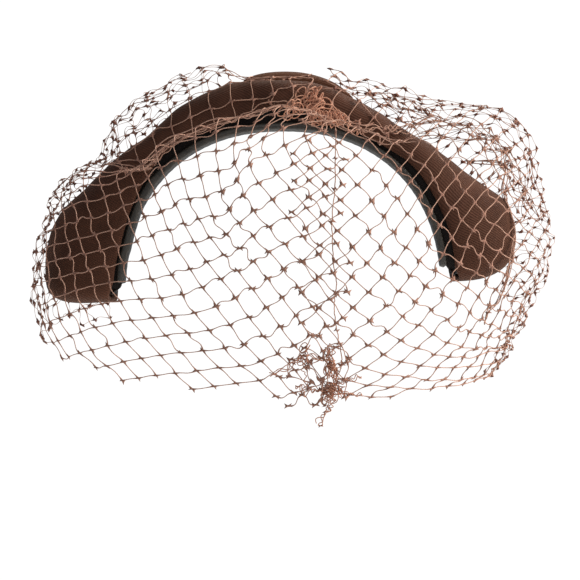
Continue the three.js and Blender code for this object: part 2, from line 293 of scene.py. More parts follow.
# how square the front of a section is over the crown and at the ears, and where it changes
front_power = {"crown": 3.4, "ear": 2.2, "from": 42, "to": 62}


def table_curve(rows, column, angle):
    """A cubic through the rows. Its slopes are harmonic means of the rises, so it never overshoots."""
    x, y = rows[:, 0], rows[:, column]
    angle = np.clip(angle, x[0], x[-1])
    rise = np.diff(y) / np.diff(x)
    product, total = rise[:-1] * rise[1:], rise[:-1] + rise[1:]
    inner = np.where(product > 0, 2 * product / np.where(product > 0, total, 1), 0)
    slope = np.concatenate([[0], inner, [0]])
    i = np.clip(np.searchsorted(x, angle) - 1, 0, len(x) - 2)
    span = x[i + 1] - x[i]
    t = (angle - x[i]) / span
    bend = span * (slope[i] * t * (1 - t) ** 2 - slope[i + 1] * t * t * (1 - t))
    return y[i] * (1 + 2 * t) * (1 - t) ** 2 + y[i + 1] * t * t * (3 - 2 * t) + bend


def mix(a, b, t):
    """The value a share t of the way from a to b."""
    return a + (b - a) * t


def smooth_step(x, low, high):
    """0 up to low, 1 from high on, and an S curve between them."""
    t = np.clip((x - low) / (high - low), 0, 1)
    return t * t * (3 - 2 * t)


def arch(u, power):
    """The height of a rounded arch: 1 in the middle, 0 at its feet, u = -1 and 1."""
    return (1 - np.minimum(np.abs(u), 1) ** power) ** (1 / power)


def sine(degrees):
    return np.sin(np.radians(degrees))


def cosine(degrees):
    return np.cos(np.radians(degrees))


def head_radius(angle):
    """The head's outline: a circle pushed a little towards a square."""
    s, c = np.abs(sine(angle)) / head["radius"], np.abs(cosine(angle)) / head["radius"]
    return (s ** head["power"] + c ** head["power"]) ** (-1 / head["power"])


def place(angle, rise, y):
    """Points from their angle, their rise off the head and their depth, as an array with x, y, z last."""
    r = head_radius(angle) + rise
    return np.stack(np.broadcast_arrays(r * sine(angle), y, head["centre"] + r * cosine(angle)), axis=-1)


print("head's outline, mm:", round(float(2 * head_radius(90)), 1), "wide")


# %% The band's sections
def end_fullness(angle, inset):
    """1 along the arch, falling to 0 at the tip of each rounded end."""
    tip, length, power = (np.where(angle < 0, right_end[key], left_end[key]) for key in right_end)
    cut = np.degrees(inset / head["radius"])
    return arch(np.maximum(np.abs(angle) - (tip - length), 0) / (length - cut), power)


def band_section(angle, inset=0):
    """Depth and rise of the front edge, the crest and the back edge, `inset` inside the outer surface."""
    s = smooth_step(np.abs(angle), 0, 90)
    full = end_fullness(angle, inset)
    depth = mix(end_depth_kept, 1, full)
    crest_y = mix(depth_crown["crest"], depth_ear["crest"], s)
    front_y = mix(depth_crown["front"], depth_ear["front"], s) + inset
    back_y = mix(depth_crown["back"], depth_ear["back"], s) - inset
    back = mix(depth_crown["back_rise"], depth_ear["back_rise"], s)
    front = table_curve(band_rows, 2, angle)
    crest = mix(front, table_curve(band_rows, 1, angle) - inset, full)
    return {
        "crest_y": crest_y,
        "front_y": mix(crest_y, front_y, depth),
        "back_y": mix(crest_y, back_y, depth),
        "front": front,
        "back": np.minimum(back, mix(front, back, full)),
        "crest": np.maximum(crest, front),
    }


def section_power(angle, ahead):
    """How square a section is: 2 is an ellipse, and more in front of the crest, most of all on top."""
    share = smooth_step(np.abs(angle), front_power["from"], front_power["to"])
    return np.where(ahead, mix(front_power["crown"], front_power["ear"], share), 2)


def band_rise(angle, y, inset=0):
    """The rise of the band's surface at a depth y, or far below zero where the band doesn't reach."""
    s = band_section(angle, inset)
    ahead = y < s["crest_y"]
    edge_y = np.where(ahead, s["front_y"], s["back_y"])
    edge = np.where(ahead, s["front"], s["back"])
    u = (y - s["crest_y"]) / (edge_y - s["crest_y"])
    return np.where(u >= 1, -1e9, mix(edge, s["crest"], arch(u, section_power(angle, ahead))))


def band_sheet(inset, along, across, ripple=0.0):
    """A grid over the band: columns run from the front edge over the crest to the back edge.

    Across the hat a column is half of a superellipse, swept by a turn of -90 to 90 degrees. The columns
    crowd towards the rounded ends. `ripple` is the height of two slow waves, the cloth's unevenness.
    """
    cut = np.degrees(inset / head["radius"])
    quarter = sine(np.linspace(0, 90, 10))
    ends = [
        end["angle"] - end["round"] + (end["round"] - cut) * quarter ** (2 / end["power"])
        for end in (right_end, left_end)
    ]
    middle = np.linspace(-ends[0][0], ends[1][0], along)[1:-1]
    angle = np.concatenate([-ends[0][::-1], middle, ends[1]])[:, None]
    turn = np.linspace(-90, 90, across)[None, :]
    s = band_section(angle, inset)
    share = 2 / section_power(angle, turn < 0)
    y = mix(s["crest_y"], np.where(turn < 0, s["front_y"], s["back_y"]), np.abs(sine(turn)) ** share)
    rise = mix(np.where(turn < 0, s["front"], s["back"]), s["crest"], cosine(turn) ** share)
    uneven = np.sin(angle * 0.31 + turn * 0.045) + 0.6 * np.sin(angle * 0.83 - turn * 0.03 + 1.3)
    return place(angle, rise + ripple * uneven * cosine(turn), y)


band_grid = band_sheet(0, 110, 41, ripple=0.22)
print("band grid:", band_grid.shape[:2], "across its ends, mm:", round(float(np.ptp(band_grid[..., 0])), 1))

# %% [markdown]
# ## Ribbed silk
#
# The cloth is faille: a plain weave with a thick weft, so fine rounded ribs run across it, a little less
# than a millimetre apart. It was cut on the bias, so the ribs run down across the front at an angle. They
# could be modelled, but at this size a rib shows only as light that changes with its slope. So they are a
# bump, and the colour is painted darker in the groove between two ribs as painted shade, broken up by the
# finer warp and by slight slubs.
#
# The ribs must neither bend with the arch nor bunch up where the cloth turns over its edges. So the band
# is laid out flat as a ring: its crest is one circle, and the cloth in front of the crest and behind it
# lies inside and outside of that circle. Straight lines drawn on the ring are the ribs.

# %% The cloth of the band and of the fold
def ribbed_cloth(name, ribs_of, light, dark):
    """Faille: `ribs_of(finish)` counts the ribs up to a point, and a finer warp crosses them."""
    made = Finish(name, Specular_IOR_Level=0.06, Sheen_Weight=0.13, Sheen_Roughness=0.3,
                  Sheen_Tint=(1, 0.6, 0.4, 1))
    at = made.place()
    slub = made.noise(at, 6 * MM, 3) * 0.55
    ribs = (ribs_of(made) + slub).wave()
    warp = made.noise(at, 0.35 * MM, 1)
    cloud = made.noise(at, 18 * MM, 3)
    # the ribs also darken the colour in their grooves: painted shade between the ribs, on top of their bump
    tone = ribs * 0.22 + warp * 0.3 + (cloud - 0.5) * 0.9 + 0.2
    made.colour(made.mix(tone, dark, light))
    made.roughness(0.66 + warp * 0.14 - ribs * 0.08)
    made.bump(ribs * 0.75 + warp * 0.35, 0.2 * MM)
    return made


rib_pitch = 0.84 * MM
# the direction on the ring in which the ribs follow each other, and how much of the cloth's width counts
rib_line = (0.5, 0.87, 0)
ring_share = 0.72
brown_light, brown_dark = (0.137, 0.0585, 0.035), (0.029, 0.012, 0.0078)


def laid_flat(grid):
    """The band as a flat ring: the crest's circle, less a share of how far a point lies ahead of it."""
    across = np.linalg.norm(np.diff(grid, axis=1), axis=2).cumsum(axis=1)
    across = np.pad(across, ((0, 0), (1, 0)))
    crest = grid.shape[1] // 2
    ahead = (across[:, crest:crest + 1] - across) * ring_share
    x, z = grid[:, crest, 0], grid[:, crest, 2] - head["centre"]
    r = np.hypot(x, z)[:, None] - ahead
    angle = np.arctan2(x, z)[:, None]
    return np.stack([r * np.sin(angle), r * np.cos(angle)], axis=-1) * MM


def ribs_on_ring(finish):
    """How many ribs lie before a point of the ring, counted along `rib_line`."""
    return finish.along(finish.node("UVMap", {"uv_map": "ring"}, {}, "UV"), rib_line, rib_pitch)


faille = ribbed_cloth("ribbed silk", ribs_on_ring, brown_light, brown_dark)
band = add_piece("band_cloth", band_grid.reshape(-1, 3), grid_faces(*band_grid.shape[:2]), faille)
add_uv(band, "ring", laid_flat(band_grid))
cloth_wall(band, wall)
print("band faces before its wall:", len(band.data.polygons))

# %% [markdown]
# ## The fold behind the top
#
# Behind the crest the cloth is folded over a pad into a smooth low dome. It is the same silk with the ribs
# along its length, but its colours are a lighter, warmer copy of the band's: painted light, as on a top that
# faces the lamps. A cloth simulation could stuff it, but the dome is smooth and its outline is known, so
# it is the product of two arches, one along the hat and one across it, on top of the band's surface.

# %% The padded fold
# angles of its ends and of its highest point, y of its front and back, thickness at its rim and of its pad
fold = {"from": -11, "top": 4, "to": 20, "front": 1, "back": 33, "edge": 0.9, "lift": 6.2}
fold_power = {"right": 2.2, "left": 1.6, "depth": 2.4}


def fold_height(angle, y):
    """Thickness of the fold: a low edge plus an arch along the hat times an arch from front to back."""
    right = angle < fold["top"]
    u = (angle - fold["top"]) / np.where(right, fold["top"] - fold["from"], fold["to"] - fold["top"])
    along = np.where(right, arch(u, fold_power["right"]), arch(u, fold_power["left"]))
    middle = (fold["front"] + fold["back"]) / 2
    across = arch((y - middle) / (fold["back"] - middle), fold_power["depth"])
    return fold["edge"] + fold["lift"] * along * across


def crowded(low, high, count):
    """Numbers from low to high that crowd towards both."""
    return mix(low, high, (sine(np.linspace(-90, 90, count)) + 1) / 2)


def fold_sheet(height):
    """A grid over the fold, `height(angle, y)` above the band."""
    angle = crowded(fold["from"], fold["to"], 61)[:, None]
    y = crowded(fold["front"], fold["back"], 33)[None, :]
    return place(angle, band_rise(angle, y) + gap + height(angle, y), y)


def closed_pad(outer, inner):
    """Points and faces of a pad between two grids, joined round their rims."""
    columns, rows = outer.shape[:2]
    count = columns * rows
    number = np.arange(count).reshape(columns, rows)
    rim = np.concatenate([number[:-1, 0], number[-1, :-1], number[:0:-1, -1], number[0, :0:-1]])
    after = np.roll(rim, -1)
    sides = np.stack([rim, rim + count, after + count, after], axis=1)
    top = grid_faces(columns, rows)
    faces = np.concatenate([top, top[:, ::-1] + count, sides])
    return np.concatenate([outer.reshape(-1, 3), inner.reshape(-1, 3)]), faces


fold_grid = fold_sheet(fold_height)
points, faces = closed_pad(fold_grid, fold_sheet(lambda angle, y: 0 * angle * y))


def ribs_along_fold(finish):
    """How many ribs lie before a point, counted across the fold and very slightly along it."""
    flat = finish.node("UVMap", {"uv_map": "flat"}, {}, "UV")
    return finish.along(flat, (0.12, 1, 0), rib_pitch)


# the band's silk painted lighter and warmer for the fold: painted light on its top
fold_light_painted_lit, fold_dark_painted_lit = (0.146, 0.0595, 0.031), (0.058, 0.0235, 0.0125)
fold_cloth = ribbed_cloth("ribbed silk of the fold", ribs_along_fold, fold_light_painted_lit, fold_dark_painted_lit)
crown_fold = add_piece("fold_cloth", points, faces, fold_cloth)
add_flat_measure(crown_fold, fold_grid)
print("fold faces:", len(faces), "highest, mm:", round(float(points[:, 2].max()), 1))

# %% [markdown]
# ## The lining and the band that grips the head
#
# Under the front edge the dark lining shows as a shadow. It could be a darker face on the inside of the
# cloth, but it hangs a little lower than the edge, so it is a thin sheet of the band's own form, set
# inside its wall. A grey-green satin band, a soft roll, runs along the inside of the front edge and keeps
# the hat on the head. It is a tube through flattened rings, puckered where it is sewn down.

# %% Lining
lining_wall = 1.0
# how far behind the front edge the lining turns down, how far it goes down, and how it ends at the tips
facing = {"behind": 4.0, "down": 0.6, "inset": 5}


def lining_sheet(along, across):
    """The band's form inside its wall, with its front edge turned down onto the satin band."""
    sheet = band_sheet(wall + 2 * gap, along, across)
    edge = sheet[:, 0]
    angle = np.degrees(np.arctan2(edge[:, 0], edge[:, 2] - head["centre"]))
    s = band_section(angle)
    low = np.minimum(grip["rise"], s["front"] - grip["clear"]) - facing["down"]
    low = mix(s["front"], low, end_fullness(angle, facing["inset"]))
    turned = place(angle, low, s["front_y"] + facing["behind"])
    steps = np.array([0, 0.35, 0.7])[None, :, None]
    return np.concatenate([mix(turned[:, None], edge[:, None], steps), sheet], axis=1)


# angles of the satin band's ends, its thickness and width, how far behind the front edge it starts, how
# high it lies, how far it stays under the edge, and the angles between which it grows up to the edge
grip = {"from": -88, "to": 82, "thick": 3.8, "wide": 14, "set_back": 8, "rise": -6.9, "clear": 2.4,
        "shown": (42, 56)}
lining_grid = lining_sheet(80, 25)
satin_dark = Finish("dark satin", Specular_IOR_Level=0.12)
at = satin_dark.place()
weave = satin_dark.along(at, (1, 0.2, -0.3), 0.6 * MM).wave()
crease_and_shade = satin_dark.noise(at, 9 * MM, 4)
# darker where the crease noise is low, which is also where the bump sinks: painted shade in the creases
satin_dark.colour(satin_dark.mix(crease_and_shade, (0.003, 0.0022, 0.002), (0.016, 0.011, 0.0095)))
satin_dark.roughness(0.42 + crease_and_shade * 0.25)
satin_dark.bump(weave * 0.2 + crease_and_shade * 2.5, 0.15 * MM)
lining_faces = grid_faces(*lining_grid.shape[:2])
lining = add_piece("lining_satin", lining_grid.reshape(-1, 3), lining_faces, satin_dark)
cloth_wall(lining, lining_wall)
print("lining faces before its wall:", len(lining_faces))

# %% The grip band
def grip_rings(count, sides):
    """Flattened rings along the inside of the front edge, with a slight pucker every few millimetres."""
    angle = np.linspace(grip["from"], grip["to"], count)[:, None]
    turn = np.linspace(0, 360, sides, endpoint=False)[None, :]
    s = band_section(angle)
    low = np.minimum(grip["rise"], s["front"] - grip["clear"]) - grip["thick"] / 2
    shown = smooth_step(-angle, *grip["shown"])
    thickness = grip["thick"] + shown * (s["front"] - 0.3 - low - grip["thick"])
    rise = low + thickness / 2
    wide, thick = (np.sign(v) * np.sqrt(np.abs(v)) for v in (cosine(turn), sine(turn)))
    end = arch(np.linspace(-1, 1, count)[:, None], 14)
    pucker = 1 - 0.05 * (0.5 + 0.5 * np.sin(angle * 2.1 + 0.6 * np.sin(angle * 0.7)))
    y = s["front_y"] + grip["set_back"] + grip["wide"] / 2 * wide * end
    return place(angle, rise + thickness / 2 * thick * end * pucker, y)


def closed_tube(rings):
    """Points and faces of a tube through rings of points, with a fan at each end."""
    columns, sides = rings.shape[:2]
    start = np.arange(columns - 1)[:, None] * sides
    a, b = start + np.arange(sides), start + np.roll(np.arange(sides), -1)
    around = np.stack([a, a + sides, b + sides, b], axis=-1).reshape(-1, 4)
    middles = rings[[0, -1]].mean(axis=1)
    side, after = np.arange(sides), np.roll(np.arange(sides), -1)
    count, last = columns * sides, (columns - 1) * sides
    caps = [np.stack([side, after, np.full(sides, count)], axis=1)]
    caps.append(np.stack([after + last, side + last, np.full(sides, count + 1)], axis=1))
    return np.concatenate([rings.reshape(-1, 3), middles]), around.tolist() + np.concatenate(caps).tolist()


satin = Finish("grey green satin", Specular_IOR_Level=0.55)
at = satin.place()
sheen = satin.noise(at, 7 * MM, 2)
floats = satin.along(at, (0.2, 1, 0.1), 0.5 * MM).wave()
# lighter where the sheen noise is high, which also raises the bump: painted sheen on the satin
satin.colour(satin.mix(sheen * 0.7 + floats * 0.3, (0.014, 0.0118, 0.0086), (0.047, 0.04, 0.029)))
satin.roughness(0.34 + sheen * 0.2)
satin.bump(floats * 0.25 + sheen * 3, 0.12 * MM)
points, faces = closed_tube(grip_rings(260, 28))
inner_band = add_piece("grip_band_satin", points, np.array(faces, dtype=object), satin)
print("grip band faces:", len(faces))

# %% [markdown]
# ## The veil as a hood
#
# The net hangs as one hood from the band: half an egg in front of the face, drawn in where it is gathered
# along the band's front edge, puffed up over the hat and tucked in behind it. A cloth simulation could
# drape it, but the outline of the real net is known, so the hood is a formula: how far the net is from the
# head's centre line in each direction. To knot a net onto this form it needs a flat measure. So the hood
# is unrolled onto a paper disc. Its pole is the point in front of the middle of the face, and a place on
# paper is a direction round the head and a distance along the net.

# %% How far the net stands out
# direction round the head, distance from the head's centre line
reach_rows = np.array([
    (-180, 100), (-121, 101), (-103, 107.5), (-88, 111), (-76, 110), (-65, 109.5), (-55, 101), (-43, 107),
    (-33, 105.5), (-20, 105), (-10, 100), (4, 102), (19, 99.5), (30, 104.5), (42, 112), (52, 127), (58, 129),
    (69, 123), (81, 121), (92, 111.5), (102, 105), (121, 99), (180, 100),
])
# how far the net stands in front of the head's middle, and how far it keeps off the hat
hood_front = 94
hood_clear = 1.8
# directions between which the drawing in fades away on each side, and how wide the drawn-in valley is
drawn_in = {"right": (46, 60), "left": (35, 47), "spread": 11}
# how high the hem hangs in front, and how fast it rises towards the back on each half
hem = {"height": -126, "rise_right": 0.25, "rise_left": 0.12}


def edge_of_hood(angle, edge, outwards, backwards):
    """Tilt and distance, from the head's middle, of a line beside the band's front or back edge."""
    section = band_section(angle)
    across = head_radius(angle) + section[edge] + outwards
    y = section[edge + "_y"] + backwards
    return np.degrees(np.arctan2(across, -y)), np.hypot(across, y)


def drawn_edge(angle):
    """The line along which the net is gathered, just ahead of the band's front edge."""
    return edge_of_hood(np.clip(angle, -90, 84), "front", 0, -hood_clear)


def tucked_edge(angle):
    """The line where the net is tucked in behind the band."""
    return edge_of_hood(np.clip(angle, -84, 73), "back", hood_clear, hood_clear)


def hat_rise(angle, y):
    """The rise of whatever is on top: the band, or the fold where it lies on the band."""
    inside = (angle > fold["from"]) & (angle < fold["to"]) & (y > fold["front"]) & (y < fold["back"])
    on_band = band_rise(angle, y)
    return np.where(inside, on_band + gap + fold_height(angle, y), on_band)


def veil_distance(angle, tilt):
    """Half an egg in front, drawn in at the band's edge, arched down to the tucked edge behind the crest.

    Where that would touch the band it moves outwards in small steps until it is clear.
    """
    reach = table_curve(reach_rows, 1, angle)

    def egg(t):
        return ((sine(t) / reach) ** 2 + (cosine(t) / hood_front) ** 2) ** -0.5

    drawn_tilt, drawn_distance = drawn_edge(angle)
    tucked_tilt, tucked_distance = tucked_edge(angle)
    share = 1 - smooth_step(angle, *drawn_in["left"]) - smooth_step(-angle, *drawn_in["right"])
    pull = share * np.exp(-(((tilt - drawn_tilt) / drawn_in["spread"]) ** 2))
    ahead = egg(tilt) - pull * (egg(drawn_tilt) - drawn_distance)
    behind = mix(tucked_distance, reach, arch((tilt - 90) / (tucked_tilt - 90), 2))
    distance = np.where(tilt <= 90, ahead, behind)
    s = band_section(angle)
    near = np.ones(distance.shape, bool)
    for _ in range(60):
        across, y = distance * sine(tilt), -distance * cosine(tilt)
        nearest = np.clip(y, s["front_y"] + 0.01, s["back_y"] - 0.01)
        near &= np.abs(y - nearest) <= 0.9 * hood_clear
        near &= across - head_radius(angle) - hat_rise(angle, nearest) < hood_clear
        distance = np.where(near, distance + 0.5, distance)
    return distance


print("widest reach of the net, mm:", reach_rows[:, 1].max())

# %% The table that turns a place on paper into a place in space
angle_step, arc_step = 2.0, 1.5
paper_angles = np.arange(-180, 181, angle_step)
paper_arcs = np.arange(0, 262, arc_step)


def unrolled_hood():
    """For every direction and distance on paper the point in space, and the net's two edges on paper.

    In each direction the distance is taken at even tilts, smoothed a little, and measured along its curve.
    """
    angle = paper_angles[:, None]
    count = 300
    tilt = np.linspace(0, 1, count) * tucked_edge(angle)[0]
    padded = np.pad(veil_distance(angle, tilt), ((0, 0), (2, 2)), mode="edge")
    weights = (1 / 9, 2 / 9, 3 / 9, 2 / 9, 1 / 9)
    distance = sum(w * padded[:, k:k + count] for k, w in enumerate(weights))
    across, y = distance * sine(tilt), -distance * cosine(tilt)
    arc = np.hypot(np.diff(across), np.diff(y)).cumsum(axis=1)
    arc = np.pad(arc, ((0, 0), (1, 0)))
    at_drawn = [np.interp(drawn_edge(a)[0], t, s) for a, t, s in zip(paper_angles, tilt, arc)]
    r, depth = (
        np.array([np.interp(paper_arcs, s, v) for s, v in zip(arc, value)]) for value in (across, y)
    )
    r = r - np.maximum(paper_arcs - arc[:, -1:], 0)
    points = np.stack([r * sine(angle), depth, head["centre"] + r * cosine(angle)], axis=-1)
    return points, np.array(at_drawn), arc[:, -1]


hood_table, drawn_arc, end_arc = unrolled_hood()


def on_paper(angle, arc):
    """The place on paper of a direction and a distance."""
    return np.stack([arc * sine(angle), arc * cosine(angle)], axis=-1)


def polar(paper):
    """The direction and the distance of a place on paper."""
    return np.degrees(np.arctan2(paper[..., 0], paper[..., 1])), np.hypot(paper[..., 0], paper[..., 1])


def past_drawn(angle, arc):
    """How far beyond the gathered line a place lies, measured along the net: negative in front of it."""
    return arc - np.interp(angle, paper_angles, drawn_arc)


def hood(paper):
    """The point in space for each place on paper, read between the four nearest entries of the table."""
    angle, arc = polar(paper)
    u = np.clip((angle + 180) / angle_step, 0, len(paper_angles) - 1.001)
    v = np.clip(arc / arc_step, 0, len(paper_arcs) - 1.001)
    i, j = u.astype(int), v.astype(int)
    fu, fv = (u - i)[..., None], (v - j)[..., None]
    low = mix(hood_table[i, j], hood_table[i + 1, j], fu)
    return mix(low, mix(hood_table[i, j + 1], hood_table[i + 1, j + 1], fu), fv)


def unit(vector):
    """The same direction with a length of 1."""
    return vector / np.maximum(np.linalg.norm(vector, axis=-1, keepdims=True), 1e-9)


middle_of_head = np.array([0, 10, head["centre"]])


def outwards(paper):
    """The direction straight out of the hood: the cross product of its two slopes, made to face out."""
    here = hood(paper)
    across = np.cross(hood(paper + [arc_step, 0]) - here, hood(paper + [0, arc_step]) - here)
    radial = here - middle_of_head
    facing = np.sign((across * radial).sum(-1, keepdims=True))
    return unit(unit(across) * facing + 0.25 * unit(radial))


print("hood: net from the face to the tucked edge, mm:", np.round(end_arc[[90, 60, 120]], 0))

# %% [markdown]
# ## Knots and threads
#
# Real veiling is knotted: four threads meet in each knot, and close to it they are drawn together and
# thicker, so a knot looks like a small star. Between two knots a thread is slack wherever the cell is
# squeezed, and bows to one side. A picture of a net on a smooth sheet would be quick, but it has no depth
# at its edge and no air between its layers, so every thread is modelled.
#
# The knots are laid out as a lattice on the paper hood. A thin plate spline through a short list of knots
# of known place gives all the others, the way a bent sheet of steel passes through its supports. Then the
# lattice relaxes: threads that are too long pull their knots together and threads that are too short push
# them apart, until nearly all have the length that they were knotted with.

# %% From a list of known knots to a whole lattice
cell = 9.5


def thin_plate(known, values, wanted, softness=0.5):
    """Bends a plate through `values` at `known`: a flat part, plus a sum of r squared times log r."""

    def bend(a, b):
        r2 = ((a[:, None] - b[None]) ** 2).sum(-1)
        return r2 * np.log(r2 + 1e-9) / 2

    count = len(known)
    flat = np.c_[np.ones(count), known]
    system = np.zeros((count + 3, count + 3))
    system[:count, :count] = bend(known, known) + softness * np.eye(count)
    system[:count, count:], system[count:, :count] = flat, flat.T
    weights = np.linalg.solve(system, np.r_[values, np.zeros((3, 2))])
    return bend(wanted, known) @ weights[:count] + np.c_[np.ones(len(wanted)), wanted] @ weights[count:]


def lattice(rows, first, last):
    """Knots numbered (a, b) from `first` to `last`, and their places on paper."""
    rows = np.array(rows, float)
    a, b = np.mgrid[first[0]:last[0] + 1, first[1]:last[1] + 1]
    numbers = np.c_[a.ravel(), b.ravel()].astype(float)
    return a.shape, thin_plate(rows[:, :2], on_paper(rows[:, 2], rows[:, 3]), numbers)


def thread_pairs(shape, kept):
    """The pairs of neighbours in both directions of the lattice, where both knots are kept."""
    n = np.arange(shape[0] * shape[1]).reshape(shape)
    pairs = np.r_[np.c_[n[:-1].ravel(), n[1:].ravel()], np.c_[n[:, :-1].ravel(), n[:, 1:].ravel()]]
    return pairs[kept[pairs].all(axis=1)]


def thread_lengths(paper, pairs):
    """How far apart in space the two knots of each thread are."""
    at = hood(paper)
    return np.linalg.norm(at[pairs[:, 1]] - at[pairs[:, 0]], axis=1)


def relax(paper, pairs, pitch, anchor=0.03, steps=150, least=0.82, stiffness=0.35):
    """Moves the knots in small steps towards threads of length `pitch`, held lightly at their places.

    A thread pulls with all that it is too long, and pushes with a part of what it lacks of `least`.
    """
    moved, home = paper.copy(), paper.copy()
    share = np.bincount(pairs.ravel(), minlength=len(paper)).clip(1)[:, None] / 1.6
    for _ in range(steps):
        span = moved[pairs[:, 1]] - moved[pairs[:, 0]]
        length = thread_lengths(moved, pairs)
        over = np.clip(length - pitch, 0, None) - stiffness * np.clip(least * pitch - length, 0, None)
        move = (0.5 * over / np.maximum(length, 1e-6))[:, None] * span
        total = np.zeros_like(moved)
        np.add.at(total, pairs[:, 0], move)
        np.add.at(total, pairs[:, 1], -move)
        moved = moved + total / share + anchor * (home - moved)
    return moved


# %% The wearer's right half and left half of the net
# number of the knot in each direction, direction round the head, distance along the net
right_knots = [
    (-6, -3, -68, 113), (-4, -3, -76, 98), (-1, -5, -91, 106), (-1, -2, -87, 75), (-2, 1, -74, 52),
    (-4, 3, -51, 60), (0, 0, -94, 50), (3, 0, -127, 41), (3, 4, -177, 14.5), (0, 4, -64, 19.5),
    (1, -8, -103, 133), (4, -5, -119, 89), (-7, -1, -60, 100), (-9, 0, -54, 121), (-10, 3, -37, 118),
    (-12, 3, -32, 134), (-10, 5, -23, 115), (-12, 6, -14, 132), (-10, 8, -3, 111), (-12, 8, -3, 127),
    (-3, -12, -84, 172), (-4, -18, -80, 226), (-20, -2, -48, 205), (-20, 7, -14, 205), (2, -15, -100, 190),
    (-20, 12, 12, 205), (0, 2, -89, 32.5), (1, 4, -86, 12), (1, 6, -3, 9.5), (2, 2, -123, 26),
    (3, 2, -143, 27.5), (0, 6, -22, 16.5), (-1, 3, -70, 33), (-1, 5, -45, 24.5), (-1, 7, -14, 27.5),
    (-2, 6, -35, 33), (-2, 8, -8, 40), (-3, 6, -35, 40), (-3, 8, -13, 46.5), (-4, 6, -34, 47.5),
    (-4, 7, -23, 50), (-4, 9, -8, 62.5), (-5, 6, -29, 55.5), (-6, 7, -20, 63.5), (-3, 11, 11.3, 60.7),
    (-2, 11, 20.1, 55.9), (-1, 11, 30.4, 50.9), (-2, 10, 13.7, 47.5), (-3, 10, 4.8, 52.7),
    (-1, 10, 25.2, 43), (0, 10, 36.8, 40.1), (-1, 9, 18.9, 34.1), (0, 9, 34.1, 30.8), (1, 9, 50.3, 29),
    (0, 8, 25.5, 22.7), (2, 8, 73.3, 21.7), (1, 7, 34.5, 13.3),
]
left_knots = [
    (0, 0, 79, 29), (0, -3, 63, 52), (0, -5, 56, 68), (0, -7, 54, 87), (-1, -7, 49, 90), (2, -7, 62, 88),
    (4, -7, 69, 91.5), (2, -3, 78, 58.5), (2, 0, 99, 44), (2, 2, 123, 35), (4, -3, 86, 73.5),
    (4, 0, 104, 61), (4, 3, 132, 49), (4, -6, 73, 87), (6, -6, 80, 98), (5, -3, 89, 84), (6, 0, 108, 78),
    (0, 4, 177, 19), (-4, -7, 31, 96), (-7, -8, 14, 114), (-9, -9, 4, 128), (-3, -13, 40, 172),
    (2, -16, 58, 200), (8, -12, 73, 175), (12, -8, 86, 168), (14, -4, 96, 160), (12, 4, 112, 130),
    (-14, -14, 8, 200), (3, -20, 60, 250), (14, -14, 78, 235), (-8, -16, 24, 210), (-4, -3, 26.5, 56.9),
    (-4, -4, 29.6, 67.7), (-3, -3, 36.9, 54.2), (-5, -3, 17.6, 63.3), (-4, -2, 21.6, 48.7),
    (-5, -2, 12.4, 53.7), (-3, -2, 32.7, 43.9), (-4, -1, 15, 39.5), (-3, -1, 26.7, 34.6),
    (-5, -1, 5.5, 45.7),
]
# where the halves are tied together low in front: the seam's x on paper, how wide around it and between
# which heights they are drawn in, and by how much
middle_seam = {"x": 17, "spread": 30, "from": -22, "to": -44, "drawn": 0.8}
# the halves overlap in front between these x, and meet behind the gathered line in this direction
overlap = {"from": 2, "to": 28, "meet": 9}
# the fold is bare between these directions: first behind y = 1, then between y = -3 and 33
bare = {"from": -12, "middle": 5, "to": 11, "behind": 1, "front": -3, "back": 33}
# near the gathered line, and between these directions, the net is taken into the rolls
taken = {"within": 6, "from": -46, "to": 36}


def drawn_to_seam(paper):
    """Draws the two halves together low in front, where they are tied: sideways towards the seam."""
    low = smooth_step(-paper[:, 1], -middle_seam["from"], -middle_seam["to"])
    off = paper[:, 0] - middle_seam["x"]
    narrow = 1 - middle_seam["drawn"] * low * np.exp(-((off / middle_seam["spread"]) ** 2))
    return np.c_[middle_seam["x"] + off * narrow, paper[:, 1]]


def half_net(rows, first, last, is_right):
    """Places on paper of one half's knots, and its threads.

    The lattice is cut at the hem, at the tucked edge, at the overlap with the other half and at the fold.
    """
    shape, paper = lattice(rows, first, last)
    paper = drawn_to_seam(paper)
    (x, y, z), (angle, arc) = hood(paper).T, polar(paper)
    ahead = past_drawn(angle, arc) < 0
    climb = hem["rise_right" if is_right else "rise_left"]
    kept = arc < np.interp(angle, paper_angles, end_arc) + 4
    kept &= z > hem["height"] + climb * (y + hood_front)
    if is_right:
        kept &= np.where(ahead, x < overlap["to"], angle < overlap["meet"])
    else:
        kept &= np.where(ahead, x > overlap["from"], angle > overlap["meet"])
    behind_fold = (angle > bare["from"]) & (angle < bare["middle"]) & (y > bare["behind"])
    over_fold = (angle >= bare["middle"]) & (angle < bare["to"]) & (y > bare["front"]) & (y < bare["back"])
    kept &= ~(behind_fold | over_fold)
    pairs = thread_pairs(shape, kept)
    paper = relax(paper, pairs, cell)
    angle, arc = polar(paper)
    taken_in = np.abs(past_drawn(angle, arc)) < taken["within"]
    taken_in &= (angle > taken["from"]) & (angle < taken["to"])
    return shape, paper, pairs[~taken_in[pairs].all(axis=1)]


nets = {
    "net_right": half_net(right_knots, (-24, -22), (8, 18), True),
    "net_left": half_net(left_knots, (-16, -22), (16, 10), False),
}
for name, (_, paper, pairs) in nets.items():
    spread = np.percentile(thread_lengths(paper, pairs), [5, 50, 95])
    print(name, "threads:", len(pairs), "length, mm:", np.round(spread, 1))

# %% [markdown]
# A net doesn't lie evenly on its form. It billows in slow waves, small in front of the face and larger in
# the puffs, and on the hat's top it lies down flat. These could be modelled as dents in the hood. Added
# to each point afterwards, along the direction straight out of the hood, they leave the knots' lattice
# alone. Last, whatever is too close to the hat is moved off it.

